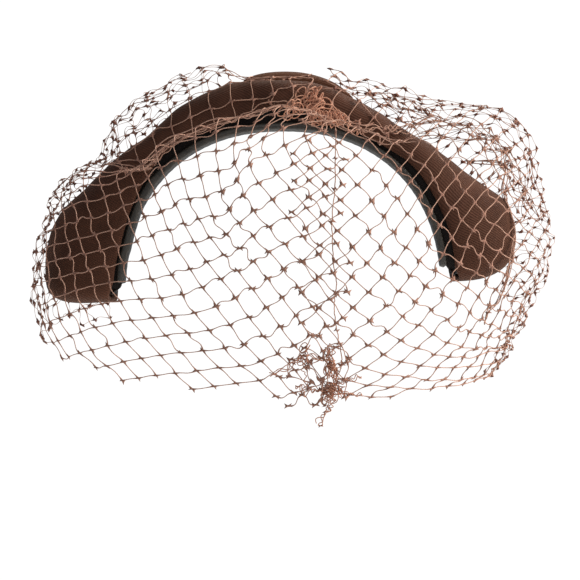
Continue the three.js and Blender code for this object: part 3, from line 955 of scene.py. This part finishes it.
# %% Unevenness of the hood
def round_head(at):
    """Points in space as their angle, their distance from the head's centre line, and their depth."""
    x, y, z = at[..., 0], at[..., 1], at[..., 2] - head["centre"]
    return np.degrees(np.arctan2(x, z)), np.hypot(x, z), y


def room_below(at, most=40):
    """How far a point of the net is above the hat, straight towards the head's centre line."""
    angle, r, y = round_head(at)
    return np.clip(r - head_radius(angle) - np.maximum(hat_rise(angle, y), 0), 0, most)


def clear_of_hat(at, least=0.9, most=6):
    """Moves points that are too close to the hat away from the centre line, by `most` at the most."""
    angle, r, y = round_head(at)
    push = np.clip(hat_rise(angle, y) + least - (r - head_radius(angle)), 0, most)
    far = 1 + push / np.maximum(r, 1)
    return np.stack([at[..., 0] * far, y, (at[..., 2] - head["centre"]) * far + head["centre"]], axis=-1)


# directions between which the net comes down onto the hat and rises off it again, from how far ahead of the
# gathered line to which distance it does so, and how far it stays off
lying = {"down": (-15, -9), "up": (4, 11), "ahead": 4, "by": 138, "off": 1.3}
# distances and directions between which the net goes over into the puffs
puff = {"arc": (118, 150), "angle": (6, 22)}
# length and share of each set of waves, and how far from the gathered line they are held down
waves_of_net = ((34, 1.0), (21, 0.7))
held_down = {"share": 0.85, "within": 9}
most_billow = 1.6


def settled(paper, at):
    """Lays the net down on the hat beside the fold, where it isn't puffed up."""
    angle, arc = polar(paper)
    share = smooth_step(angle, *lying["down"]) * (1 - smooth_step(angle, *lying["up"]))
    start = np.interp(angle, paper_angles, drawn_arc) - lying["ahead"]
    share = share * smooth_step(arc, start, lying["by"])
    radial = unit(at - np.stack([0 * angle, at[..., 1], 0 * angle + head["centre"]], axis=-1))
    return at - radial * (share * np.clip(room_below(at) - lying["off"], 0, None))[..., None]


def puffed(paper):
    """1 where the net is puffed up over the hat, 0 in front of the face and on the hat's top."""
    angle, arc = polar(paper)
    return smooth_step(arc, *puff["arc"]) * smooth_step(np.abs(angle), *puff["angle"])


def billow(paper, seed):
    """How far the net stands off the hood: two sets of crossing waves, larger over the hat.

    They fade away at the gathered line, and go inwards by no more than a part of the room there is.
    """
    near = np.exp(-((past_drawn(*polar(paper)) / held_down["within"]) ** 2))
    off_edge = 1 - held_down["share"] * near
    waves = 0
    for number, (size, share) in enumerate(waves_of_net):
        turn = seed + 1.9 * number
        along = paper[..., 0] * np.cos(turn) + paper[..., 1] * np.sin(turn)
        cross = paper[..., 1] * np.cos(turn) - paper[..., 0] * np.sin(turn)
        crossing = np.sin(2 * np.pi * cross / size * 0.83)
        waves = waves + share * np.sin(2 * np.pi * along / size + seed) * crossing
    height = (0.8 + 1.2 * puffed(paper)) * waves * off_edge - 0.3 * puffed(paper)
    return np.clip(height, -0.6 * room_below(hood(paper)), most_billow)


def spread_out(paper, seed, outer=0.0):
    """The net's own place in space: on the hood, plus its billow and a constant distance."""
    at = hood(paper) + outwards(paper) * (billow(paper, seed) + outer)[..., None]
    return clear_of_hat(settled(paper, at))


print("room under the puffs, mm:", np.round(room_below(hood(on_paper(np.array([-40, 60]), 150))), 0))

# %% [markdown]
# A thread is a thin tube that follows the hood between its two knots and bows a little, with closed ends
# inside the knots. A knot is a small flat star with an arm along each thread. Blender could thicken a
# curve for every thread, but thousands of objects are slow. All tubes of a net are made at once instead:
# one array holds every point of every thread.

# %% Tubes and stars
# radii of a thread over the face, in the puffs, and where it goes into a knot
thread_radius = 0.2
fine_radius = 0.1
thick_end = 0.42
sides = 5
# a knot's reach along its threads, between them sideways and up and down, and half its thickness
star = {"arm": 1.9, "bar": 1.0, "waist": 0.3, "half": 0.42}
bead = {"arm": 1.5, "bar": 1.05, "waist": 0.58, "half": 0.68}


def tubes(paths, radii):
    """Closed tubes along many paths of equal count: rings square to each path, and an apex at both ends.

    A ring's first side is carried along its path: each time it loses the part that points along the path.
    """
    count, sections = paths.shape[:2]
    way = unit(np.gradient(paths, axis=1))
    middle = paths.mean(axis=1)
    side = np.cross(way[:, 0], middle - middle_of_head)
    sides_along = []
    for section in range(sections):
        side = unit(side - (side * way[:, section]).sum(-1, keepdims=True) * way[:, section])
        sides_along.append(side)
    side = np.stack(sides_along, axis=1)
    other = np.cross(way, side)
    turn = np.linspace(0, 360, sides, endpoint=False)[:, None]
    ring = side[:, :, None] * cosine(turn) + other[:, :, None] * sine(turn)
    rings = paths[:, :, None] + radii[..., None, None] * ring
    per_tube = sections * sides + 2
    points = np.concatenate([rings.reshape(count, -1, 3), paths[:, :1], paths[:, -1:]], axis=1)
    j, k = np.arange(sides), np.roll(np.arange(sides), -1)
    start = np.arange(sections - 1)[:, None] * sides
    a, b = start + j, start + k
    low = np.stack([a, b, b + sides], axis=-1).reshape(-1, 3)
    high = np.stack([a, b + sides, a + sides], axis=-1).reshape(-1, 3)
    last = (sections - 1) * sides
    caps = [np.stack([k, j, np.full(sides, sections * sides)], axis=1)]
    caps.append(np.stack([j + last, k + last, np.full(sides, sections * sides + 1)], axis=1))
    one = np.concatenate([low, high, *caps])
    faces = (one[None] + np.arange(count)[:, None, None] * per_tube).reshape(-1, 3)
    return points.reshape(-1, 3), faces


# points round a knot, and with its two tips
around, per_star = 8, 10


def stars(centres, arms, out, size, tight):
    """Knots: eight points round each centre, four along the threads and four between them, and two tips.

    The fibre is wound sideways round a knot, so of the points between the threads the level pair lies
    further out. `tight` runs from 0, a loose star, to 1, a bead.
    """
    tight = np.broadcast_to(tight, len(centres))[:, None, None]
    shape = {key: mix(star[key], bead[key], tight) for key in star}
    half = unit(arms + np.roll(arms, -1, axis=1))
    slope = np.abs(half[:, :2, 2]) + np.abs(half[:, 2:, 2])
    level = (slope == slope.min(axis=1, keepdims=True))[:, [0, 1, 0, 1], None]
    half = half * np.where(level, shape["bar"], shape["waist"])
    ring = np.stack([arms * shape["arm"], half], axis=2).reshape(len(centres), around, 3)
    tips = np.stack([out, -out], axis=1) * shape["half"]
    size = np.broadcast_to(size, len(centres))[:, None, None]
    points = centres[:, None] + np.concatenate([ring, tips], axis=1) * size
    j, k = np.arange(around), np.roll(np.arange(around), -1)
    one = np.concatenate([np.c_[j, k, np.full(around, around)], np.c_[k, j, np.full(around, around + 1)]])
    faces = (one[None] + np.arange(len(centres))[:, None, None] * per_star).reshape(-1, 3)
    return points.reshape(-1, 3), faces


def turned_round(arms, out):
    """Orders the four arms of each knot the same way round its outward direction."""
    side = unit(arms[:, 0] - (arms[:, 0] * out).sum(-1, keepdims=True) * out)
    other = np.cross(out, side)
    turn = np.arctan2((arms * other[:, None]).sum(-1), (arms * side[:, None]).sum(-1)) % (2 * np.pi - 1e-6)
    order = np.argsort(turn, axis=1)
    return np.take_along_axis(arms, order[..., None], axis=1)


print("triangles of a thread of nine sections:", 2 * 8 * sides + 2 * sides, "and of a knot:", 2 * around)

# %% [markdown]
# The fibre is a matt rosy brown. The knots, where it is doubled, are darker and redder. A pattern in space
# can't know where the knots are. So each point of the mesh stores its share of darkness as an attribute,
# which the material reads. In the bunches the light passes from thread to thread and comes out warmer, so
# those have a fibre of their own that is a little redder.

# %% The fibre
def net_fibre(name, low, high):
    """Threads between two colours in slow patches, and knots between two darker ones, with a fine fluff."""
    made = Finish(name, Specular_IOR_Level=0.2)
    at = made.place()
    knotted = made.node("Attribute", {"attribute_name": "knotted"}, {}, "Fac")
    uneven, fluff = made.noise(at, 14 * MM, 3), made.noise(at, 0.7 * MM, 2)
    plain = made.mix(uneven * 1.4 - 0.2, low, high)
    dark = made.mix(uneven, (0.13, 0.048, 0.033), (0.24, 0.1, 0.072))
    made.colour(made.mix(knotted * 0.85 + fluff * 0.15, plain, dark))
    made.roughness(0.72 + fluff * 0.2)
    made.bump(fluff, 0.1 * MM)
    return made


fibre = net_fibre("net fibre", (0.46, 0.26, 0.18), (0.65, 0.4, 0.295))
bunched_fibre = net_fibre("bunched net fibre", (0.5, 0.235, 0.145), (0.68, 0.36, 0.24))
print("fibres:", fibre.material.name, "and", bunched_fibre.material.name)


def add_net_piece(name, parts, finish=fibre):
    """One object from many sets of tubes and stars, each with the darkness of its points."""
    points, faces, tone, start = [], [], [], 0
    for these, those, dark_share in parts:
        points.append(these)
        faces.append(those + start)
        tone.append(np.broadcast_to(dark_share, len(these)))
        start += len(these)
    faces = np.concatenate(faces)
    piece = add_piece(name, np.concatenate(points), faces, finish)
    layer = piece.data.attributes.new("knotted", "FLOAT", "POINT")
    layer.data.foreach_set("value", np.concatenate(tone).astype(np.float32))
    print(name, "triangles:", len(faces))
    return piece


# %% [markdown]
# A real thread is hardly ever straight: it has a little length to spare and bows to some side, or waves.
# The bow could be drawn by hand, thread by thread. Here it follows from the length that each thread was
# knotted with, so a squeezed mesh has bent threads and a stretched one has straight ones.

# %% Threads between the knots of a lattice
# how far a thread's thickening and its darkness reach from a knot: over the face, and in the puffs
thick_reach = (1.5, 1.1)
dark_reach = (2.1, 1.5)
# a thread was knotted longer by this share away from the face, between these distances along the net, and
# unevenly by another share; however long it is, it bows by no more than `most_bow`
spare_length = {"more": 0.035, "between": (70, 105), "uneven": 0.025}
most_bow = 1.2


def fading(near, reach):
    """1 at a knot, fading away from it as a bell curve."""
    return np.exp(-((near / reach) ** 2))


def bowed_threads(paper, pairs, seed, outer=0.0, sections=9):
    """All threads of a net: straight on paper, lifted onto the hood, and bowed by what they have to spare.

    A thread's spare length is what it was knotted with, less the distance between its knots. An arc that
    is longer than its chord by a share has a height of about the square root of 0.375 times that share.
    """
    draw = np.random.default_rng(int(seed * 10))
    t = np.linspace(0, 1, sections)
    flat = mix(paper[pairs[:, 0]][:, None], paper[pairs[:, 1]][:, None], t[None, :, None])
    middle = flat[:, sections // 2]
    paths = spread_out(flat, seed, outer)
    chord = np.linalg.norm(paths[:, -1] - paths[:, 0], axis=1)
    out = outwards(middle)
    side = np.cross(unit(paths[:, -1] - paths[:, 0]), out)
    loose = 1 + spare_length["more"] * smooth_step(polar(middle)[1], *spare_length["between"])
    slack = cell * draw.normal(loose, spare_length["uneven"]) / chord - 1
    spare = np.minimum(chord * np.sqrt(0.375 * np.clip(slack, 0.002, None)), most_bow)
    turn = draw.uniform(0, 2 * np.pi, len(pairs))
    bow = side * np.cos(turn)[:, None] + out * 0.5 * np.sin(turn)[:, None]
    wave = side * draw.normal(0, 0.6, len(pairs))[:, None]
    once, twice = np.sin(np.pi * t)[None, :, None], np.sin(2 * np.pi * t)[None, :, None]
    paths = paths + spare[:, None, None] * once * bow[:, None]
    paths = paths + (0.25 + spare)[:, None, None] * 0.5 * twice * wave[:, None]
    near = np.minimum(t, 1 - t)[None, :] * chord[:, None]
    full = puffed(middle)[:, None]
    radius = mix(thread_radius, fine_radius, full)
    radii = radius + (thick_end - radius) * fading(near, mix(*thick_reach, full))
    points, faces = tubes(paths, radii)
    ring_tone = np.repeat(0.75 * fading(near, mix(*dark_reach, full)), sides, axis=1)
    tone = np.concatenate([ring_tone, np.ones((len(pairs), 2))], axis=1).reshape(-1)
    return points, faces, tone


def neighbours(grid, used):
    """The places of the four neighbours of each used knot; beyond the lattice's edge they are mirrored."""
    padded = np.pad(grid, ((1, 1), (1, 1), (0, 0)), mode="reflect", reflect_type="odd")
    near = [padded[2:, 1:-1], padded[1:-1, 2:], padded[:-2, 1:-1], padded[1:-1, :-2]]
    return np.stack([n.reshape(-1, grid.shape[-1])[used] for n in near], axis=1)


def knots_of(shape, paper, pairs, seed, outer=0.0):
    """A star at every knot that holds a thread, its arms towards the four neighbours in the lattice."""
    used = np.unique(pairs)
    near = neighbours(paper.reshape(*shape, 2), used)
    step = unit(near - paper[used][:, None]) * 2
    centres = spread_out(paper[used], seed, outer)
    arms = unit(spread_out(paper[used][:, None] + step, seed, outer) - centres[:, None])
    out = outwards(paper[used])
    size = np.random.default_rng(int(seed * 10) + 1).uniform(0.88, 1.18, len(used))
    tight = puffed(paper[used])
    points, faces = stars(centres, turned_round(arms, out), out, size, tight)
    return points, faces, np.repeat(mix(0.55, 1, tight), per_star)


# the seed of each half's numbers, and how far it stands outside the hood: the right half lies on top
settings = {"net_right": (1.3, 0.6), "net_left": (2.2, 0.0)}
net_pieces = {}
for name, (shape, paper, pairs) in nets.items():
    parts = [bowed_threads(paper, pairs, *settings[name]), knots_of(shape, paper, pairs, *settings[name])]
    net_pieces[name] = add_net_piece(name, parts)

# %% [markdown]
# ## Where the net is gathered
#
# The net was cut much wider than the face and is gathered into soft rolls: along the band's front edge, down
# the wearer's left end, in a bunch at the top where the halves cross, and in a smaller one low in front.
# Squeezing the lattice itself that far would turn its meshes into a solid mass. So a roll is made of a few
# threads that follow one route, each with its own place beside it and its own slow wander. A bunch is a
# tangle: every thread runs round an egg on a curly closed path. Both carry knots now and then, as far
# apart as in net that is pulled together.

# %% Rolls and tangles of thread
def spline(rows, count):
    """A smooth curve through the rows: a cubic between each two, with slopes taken from their neighbours."""
    rows = np.asarray(rows, float)
    rows = np.concatenate([2 * rows[:1] - rows[1:2], rows, 2 * rows[-1:] - rows[-2:-1]])
    u = np.linspace(0, len(rows) - 3.000001, count)
    i = u.astype(int)
    t = (u - i)[:, None]
    a, b, c, d = (rows[i + k] for k in range(4))
    squared, cubed = 2 * a - 5 * b + 4 * c - d, 3 * b - a - 3 * c + d
    return 0.5 * (2 * b + (c - a) * t + squared * t ** 2 + cubed * t ** 3)


def on_net(rows, count):
    """A route over the net, from rows of direction, distance along the net and height above it."""
    rows = np.asarray(rows, float)
    route = spline(np.c_[on_paper(rows[:, 0], rows[:, 1]), rows[:, 2]], count)
    return clear_of_hat(settled(route[:, :2], hood(route[:, :2])) + outwards(route[:, :2]) * route[:, 2:])


def wander(draw, count, t, waves, falling=0.8):
    """Slow random curves: sines of a few frequencies, each weaker than the last, with random phases."""
    total = 0
    for number in range(1, waves + 1):
        size = draw.normal(0, 1, (count, 1)) / number ** falling
        total = total + size * np.sin(2 * np.pi * (number * t[None] + draw.uniform(0, 1, (count, 1))))
    return total


def strands(route, count, spread, loose, seed, waves=9, flat=0.6):
    """Threads beside each other along a route: each keeps its own side of it and wanders by `loose`."""
    draw = np.random.default_rng(seed)
    t = np.linspace(0, 1, len(route))
    way = unit(np.gradient(route, axis=0))
    side = unit(np.cross(way, route - middle_of_head))
    up = np.cross(side, way)
    turn = draw.uniform(0, 2 * np.pi, (count, 1)) + wander(draw, count, t, 3)
    off = np.sqrt(draw.uniform(0.05, 1, (count, 1))) * spread
    u = off * np.cos(turn) + loose * wander(draw, count, t, waves, 0.6)
    v = flat * (off * np.sin(turn) + loose * wander(draw, count, t, waves, 0.6))
    return clear_of_hat(route[None] + u[..., None] * side[None] + v[..., None] * up[None], 0.6)


def tangle(centre, axes, lean, count, seed, curl, sections=110):
    """Closed paths that wander slowly through an egg and run round small curls of radius `curl` meanwhile.

    A place in the egg is a wandering direction times a wandering distance times its half axes. The egg
    leans over by `lean` degrees about the line from side to side.
    """
    draw = np.random.default_rng(seed)
    t = np.linspace(0, 1, sections)
    way = unit(np.stack([wander(draw, count, t, 2, 0.5) for _ in range(3)], axis=-1))
    far = 0.55 + 0.3 * np.sin(wander(draw, count, t, 3))
    turn = 2 * np.pi * (draw.integers(5, 10, (count, 1)) * t + draw.uniform(0, 1, (count, 1)))
    first, second = unit(draw.normal(0, 1, (2, count, 1, 3)))
    wide = curl * draw.uniform(0.6, 1.3, (count, 1, 1))
    local = way * far[..., None] * np.array(axes)
    local = local + wide * (np.cos(turn)[..., None] * first + np.sin(turn)[..., None] * second)
    c, s = cosine(lean), sine(lean)
    return np.array(centre) + local @ np.array([[1, 0, 0], [0, c, s], [0, -s, c]])


def as_thread(paths, seed, spacing, radius, tone=0.15, tight=0.0, knot_size=0.92):
    """Tubes along free paths, and a star on each path at about every `spacing` millimetres."""
    draw = np.random.default_rng(seed)
    count, sections = paths.shape[:2]
    points, faces = tubes(paths, np.full((count, sections), radius))
    length = np.pad(np.linalg.norm(np.diff(paths, axis=1), axis=2).cumsum(axis=1), ((0, 0), (1, 0)))
    beat = (length / spacing + draw.uniform(0, 1, (count, 1))).astype(int)
    row, column = np.nonzero(np.diff(beat, axis=1))
    centres = paths[row, column]
    way = unit(np.gradient(paths, axis=1))[row, column]
    out = unit(np.cross(way, draw.normal(0, 1, way.shape)))
    side = np.cross(way, out)
    lean = draw.normal(0, 0.35, (len(row), 1))
    arms = np.stack([way, side + lean * way, -way, -side - lean * way], axis=1)
    knots, those = stars(centres, unit(arms), out, knot_size * draw.uniform(0.8, 1.2, len(row)), tight)
    return [(points, faces, tone), (knots, those, mix(0.7, 1, tight))]


# %% Routes along the band's front edge
# a row is a direction, a distance along the net, and a height above it
def edge_rows(angles, beyond, height):
    """Rows beside the gathered line, `beyond` it by so many millimetres."""
    return [(a, np.interp(a, paper_angles, drawn_arc) + beyond, height) for a in angles]


right_roll = on_net(edge_rows((-54, -50, -44, -34, -24, -14, -4, 4), 0, 0.7), 170)
right_roll_low = on_net(edge_rows((-46, -40, -30, -18, -8, 5), -2.5, 0.4), 150)
right_fan = on_net([(-53, 115, 0.8), (-48, 120, 0.9)] + edge_rows((-43, -38, -34), 1.2, 0.9), 60)
right_tack = on_net([(-56, 134, 0.6), (-53, 127, 0.7), (-50.5, 120, 0.8), (-47, 118, 0.8)], 40)
left_roll = on_net([(15, 112, 1), (20, 112, 1), (25, 114, 1), (30, 120, 1.1), (34, 124, 1.1), (37, 128.5, 1),
                    (41, 134, 0.7)], 90)


def route_length(route):
    """The length of a route, in whole millimetres."""
    return round(float(np.linalg.norm(np.diff(route, axis=0), axis=1).sum()))


print("rolls on the wearer's right and left, mm:", route_length(right_roll), route_length(left_roll))

# %% [markdown]
# At the wearer's left the end of the net isn't spread out. It is gathered too, and falls beside the cheek as
# one soft cord of threads. The selvedge is the net's own firm edge, which runs down the middle of the face.
# Both could be rows of the lattice, but a row has a gap at every mesh, and these two are seen as unbroken
# lines. So each is a route with threads of its own.

# %% The gathered fall and the selvedge
# the fall hangs free at the wearer's left: its rows are plain places in space
left_fall = spline([(83, 10, -20), (99, 5, -22), (99, 0, -35), (103, -5, -50), (102.6, -8, -57),
                    (101, -10, -66), (98, -14, -76), (94, -18, -84), (90, -22, -87), (88, -26, -93)], 130)
# the selvedge lies on the net
seam = on_net([(18, 80, 0.5), (25.5, 52, 0.5), (34.7, 35.4, 0.5), (54, 25, 0.5), (85, 22, 0.5),
               (101, 21.6, 0.5), (120, 25, 0.5), (136, 35, 0.5), (142, 40, 0.5), (152, 46, 0.5)], 260)
print("fall and selvedge, mm:", route_length(left_fall), route_length(seam))

# %% Threads of each roll
# route, number of threads, spread, looseness, seed, and the number of waves in a thread
rolls = {
    "gathered_edge_right": [(right_roll, 2, 0.9, 0.8, 11, 16), (right_roll_low, 1, 0.3, 0.75, 12, 14),
                            (right_fan, 3, 1.7, 0.25, 16, 3), (right_tack, 2, 1.3, 0.2, 17, 3)],
    "gathered_edge_left": [(left_roll, 4, 1.9, 0.85, 13, 11)],
    "gathered_fall": [(left_fall, 4, 1.3, 0.5, 14, 9)],
    "selvedge": [(seam, 1, 0.1, 0.16, 15, 40)],
}
print("threads in each roll:", {name: sum(part[1] for part in parts) for name, parts in rolls.items()})

# %% [markdown]
# In a bunch a whole width of net is pulled together: crumpled threads in no order, with loops that stand out
# of it. A solid lump with a pattern of threads would look like felt. Threads on curly paths through a small
# egg leave holes that light goes through. A few more follow routes of their own, in and out of the bunch.

# %% The bunch at the top
# centre, half axes and lean of each tangle, its number of threads, its seed, and the radius of its curls
top_tangles = [
    ((13.2, -37.4, 3.4), (9, 1.4, 8), -10, 4, 24, 2.4),
    ((19, -50, -4.8), (9, 2, 7.5), -30, 4, 25, 2.2),
    ((4, -49, -1), (7, 1.5, 3.5), -20, 1, 23, 2.8),
]
top_paths = [tangle(*row) for row in top_tangles]
# single threads fan out of the bunch, from one place to several others
fan_from = (17, 108, 2)
fan_ends = [(17, 92, 0.8), (26, 104, 1)]
top_paths += [strands(on_net([fan_from, end], 64), 1, 2.2, 1.4, 41 + n, 8) for n, end in enumerate(fan_ends)]
print("threads of the top bunch:", sum(len(paths) for paths in top_paths))


# %% The bunch low in front
def low_tangle(at, *shape_of_it):
    """A tangle whose centre is given as a direction, a distance along the net and a height above it."""
    return tangle(on_net([at, at], 2)[0], *shape_of_it)


low_paths = [
    low_tangle((154, 46.5, 1), (6.5, 1.6, 5.2), -12, 2, 51, 2.3),
    low_tangle((147, 36, 0.8), (5, 1.4, 7.5), -10, 2, 52, 2.4),
    low_tangle((162.5, 28, 0.8), (7, 1.2, 5), -8, 1, 33, 2.6),
]
# folds that lead to it from the sides and down from it: route, number of threads, spread and looseness
low_routes = [
    ([(-171, 35.3, 0.6), (178.4, 32.6, 0.6), (162.3, 28, 0.6), (149, 33, 0.6)], 3, 0.9, 0.7),
    ([(147, 31, 0.6), (147, 42, 0.6), (154, 47, 0.6)], 2, 0.8, 0.8),
    ([(172, 40, 0.6), (163, 44, 0.6), (154, 47, 0.6)], 3, 1.5, 0.9),
    ([(154, 47, 0.6), (148.5, 52, 0.6), (143, 57, 0.6)], 2, 0.8, 0.5),
    ([(154, 47, 0.6), (145, 47, 0.6), (138, 50, 0.6)], 2, 1.2, 0.6),
    ([(154, 47, 0.6), (158.5, 55, 0.6), (166, 60, 0.5)], 3, 0.9, 0.8),
    ([(162, 28, 0.6), (167, 36, 0.6), (163, 44, 0.6)], 1, 0.5, 0.8),
]
low_paths += [strands(on_net(rows, 64), count, wide, loose, 34 + n, 7)
              for n, (rows, count, wide, loose) in enumerate(low_routes)]
print("threads of the low bunch:", sum(len(paths) for paths in low_paths))


# %% Thread and knots for rolls and bunches
def all_threads(paths, first_seed, *look):
    """Every set of paths as thread, each with the next seed."""
    return [part for n, these in enumerate(paths) for part in as_thread(these, first_seed + n, *look)]


# spacing of the knots and radius of the thread; for bunches also tone, tightness and size of the knots
gathers = {name: all_threads([strands(*part) for part in parts], 50, 1.6 * cell, 0.235)
           for name, parts in rolls.items()}
gathers["bunch_top"] = all_threads(top_paths, 60, 24, 0.27, 0, 0, 0.7)
gathers["bunch_low"] = all_threads(low_paths, 70, 26, 0.2, 0.1, 0, 0.75)
print("gathered:", list(gathers))

# %% [markdown]
# The puffs over the hat look denser than one layer of net, because the net is folded back on itself there.
# More layers of the whole hood would show everywhere and cost many triangles. What the eye sees are the
# creases, dark lines where the net doubles back, so those are drawn as single threads close to the hood.
# Only the left puff is so dense that one inner layer is added, a patch of net turned against the first.

# %% An inner layer of net
mm_per_degree = 1.9
inner_radius = 0.15


def folded_layer(middle, half, turn, sunk, seed, pitch=8.6):
    """A square lattice of direction and distance, turned, cut to a rounded patch and sunk inside the hood.

    `middle` and `half` are the patch's centre and half sizes, `sunk` its share of the room below the hood.
    """
    reach = int(max(half) / pitch) + 6
    a, b = np.mgrid[-reach:reach + 1, -reach:reach + 1]
    draw = np.random.default_rng(seed)
    u = (a * cosine(turn) - b * sine(turn)) * pitch + draw.normal(0, 1.1, a.shape)
    v = (a * sine(turn) + b * cosine(turn)) * pitch + draw.normal(0, 1.1, a.shape)
    paper = on_paper(middle[0] + u / mm_per_degree, middle[1] + v).reshape(-1, 2)
    kept = ((np.abs(u / half[0]) ** 3 + np.abs(v / half[1]) ** 3) < 1).ravel()
    pairs = thread_pairs(a.shape, kept)
    uneven = 1 + 0.35 * np.sin(paper[:, 0] / 5.1 + seed) * np.sin(paper[:, 1] / 4.3)
    return a.shape, paper, pairs, sunk * room_below(hood(paper)) * uneven


def sunk_threads(shape, paper, pairs, depth, seed, sections=8):
    """Threads and knots of an inner layer: each knot is below the hood by its depth, each thread bows."""
    draw = np.random.default_rng(seed)
    t = np.linspace(0, 1, sections)[None, :, None]
    below = hood(paper) - outwards(paper) * depth[:, None]
    knots = clear_of_hat(below + draw.normal(0, 0.7, (len(paper), 3)))
    ends = knots[pairs]
    paths = mix(ends[:, :1], ends[:, 1:], t)
    chord = np.linalg.norm(ends[:, 1] - ends[:, 0], axis=1)
    bow = unit(draw.normal(0, 1, (len(pairs), 3))) * draw.uniform(0.8, 2.6, (len(pairs), 1))
    paths = clear_of_hat(paths + np.sin(np.pi * t) * bow[:, None])
    near = np.minimum(t, 1 - t)[..., 0] * chord[:, None]
    points, faces = tubes(paths, inner_radius + (thick_end - inner_radius) * fading(near, thick_reach[1]))
    used = np.unique(pairs)
    arms = unit(neighbours(knots.reshape(*shape, 3), used) - knots[used][:, None])
    out = outwards(paper[used])
    size = draw.uniform(0.8, 1.05, len(used))
    tips, those = stars(knots[used], turned_round(arms, out), out, size, 1)
    return [(points, faces, 0.3), (tips, those, 0.9)]


# middle, half sizes, turn, share of the room, seed
inner_layer = folded_layer((48, 172), (52, 34), 33, 0.36, 83)
inner_threads = sunk_threads(*inner_layer, 83)
print("threads of the inner layer:", len(inner_layer[2]))

# %% Creases where the net doubles back
# direction and distance along the net
creases = {
    "puff_right": [
        [(-54, 137), (-51, 154), (-48, 159), (-45, 160), (-42, 162), (-39, 160), (-37, 154), (-35, 154),
         (-32.5, 163), (-27, 164), (-23, 164)],
        [(-37, 154), (-34, 149), (-30, 146), (-26.5, 141), (-22, 139)],
        [(-52.5, 134), (-49, 142), (-44, 142), (-39.5, 137), (-34, 137)],
        [(-64, 160), (-60.5, 157), (-58, 154), (-56, 150), (-55, 132)],
    ],
    "puff_left": [
        [(11, 122), (20, 131), (27, 140), (31, 145), (36, 151), (41, 154)],
        [(38, 143), (41, 149), (43, 158), (44, 165), (46, 170), (48.5, 171), (51, 169), (53.5, 166),
         (57, 176)],
        [(51, 138), (52, 142), (53.5, 142), (54.5, 147), (55, 155), (54.5, 165)],
        [(60, 123), (60.5, 134), (60, 147), (63, 145), (68, 149), (72, 165), (76, 168)],
        [(74, 119), (74, 128), (74.5, 140), (73, 160)],
        [(45.5, 148), (46.5, 156), (48, 160), (47.5, 166)],
    ],
}
print("creases:", {name: len(lines) for name, lines in creases.items()})

# %% The creases and the inner layer become thread
for name, lines in creases.items():
    paths = [strands(on_net([(*row, 0.3) for row in rows], 70), 1, 0.2, 0.35, 90 + n, 5)
             for n, rows in enumerate(lines)]
    gathers[name] = all_threads(paths, 90, 1.1 * cell, 0.16, 0.4, 1)
gathers["puff_left"] = inner_threads + gathers["puff_left"]

# %% The gathered pieces
bunched = ("bunch_top", "bunch_low")
gather_pieces = {name: add_net_piece(name, parts, bunched_fibre if name in bunched else fibre)
                 for name, parts in gathers.items()}

# %% [markdown]
# ## The finished hat
#
# Each new piece takes the place of its solid in the model and rides on the hat's one body. The areas of
# the sheets are worked out and printed.

# %% What each piece stands for
def belongs(piece, slot, *nodes):
    """The piece moves with the hat and takes the place of these solids. `slot` is not used."""
    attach(piece, "root")
    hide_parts(*nodes)


belongs(band, "ribbed_cloth", "band")
belongs(crown_fold, "ribbed_cloth", "crown_fold")
belongs(lining, "lining_satin", "lining")
belongs(inner_band, "band_satin", "inner_band")
belongs(net_pieces["net_right"], "netting", "veil")
belongs(net_pieces["net_left"], "netting", "veil")
stands_for = {"bunch_top": "veil_knot", "gathered_edge_right": "veil_heading_right",
              "gathered_edge_left": "veil_heading_left"}
for name, piece in gather_pieces.items():
    belongs(piece, "netting", stands_for.get(name, "veil"))
print("new pieces:", 4 + len(net_pieces) + len(gather_pieces))

# %% [markdown]
# The area of a sheet's cloth before it was shaped is printed. The ribbed cloth and the lining are
# stretched over the hat, so their area is that of their surface. The net is gathered and isn't measured
# here.


def sheet_area(grid):
    """The area of a grid's faces, in square metres."""
    a, b = grid[1:, 1:] - grid[:-1, :-1], grid[:-1, 1:] - grid[1:, :-1]
    return float(np.linalg.norm(np.cross(a, b), axis=-1).sum() / 2) * MM ** 2


band_area, lining_area = sheet_area(band_grid), sheet_area(lining_grid)
print("areas, m2:", round(band_area, 4), round(lining_area, 4))

# %% [markdown]
# The floor is a pale disc well below the hat. It is only for the picture: it isn't part of the hat. A
# plane would do as well, but a disc shows no corner in any view.

# %% Floor
floor_radius, floor_height, floor_corners = 550, -300, 64
turn = np.linspace(0, 360, floor_corners, endpoint=False)[:, None]
disc = np.c_[floor_radius * cosine(turn), floor_radius * sine(turn), 0 * turn + floor_height]
ground = Finish("pale floor", Roughness=0.9)
ground.colour(ground.mix(ground.noise(ground.place(), 0.4, 2), (0.86, 0.86, 0.86), (0.9, 0.9, 0.9)))
floor = add_piece("floor", disc, np.arange(floor_corners)[None], ground, smooth=False)
print("floor at, mm:", floor_height)
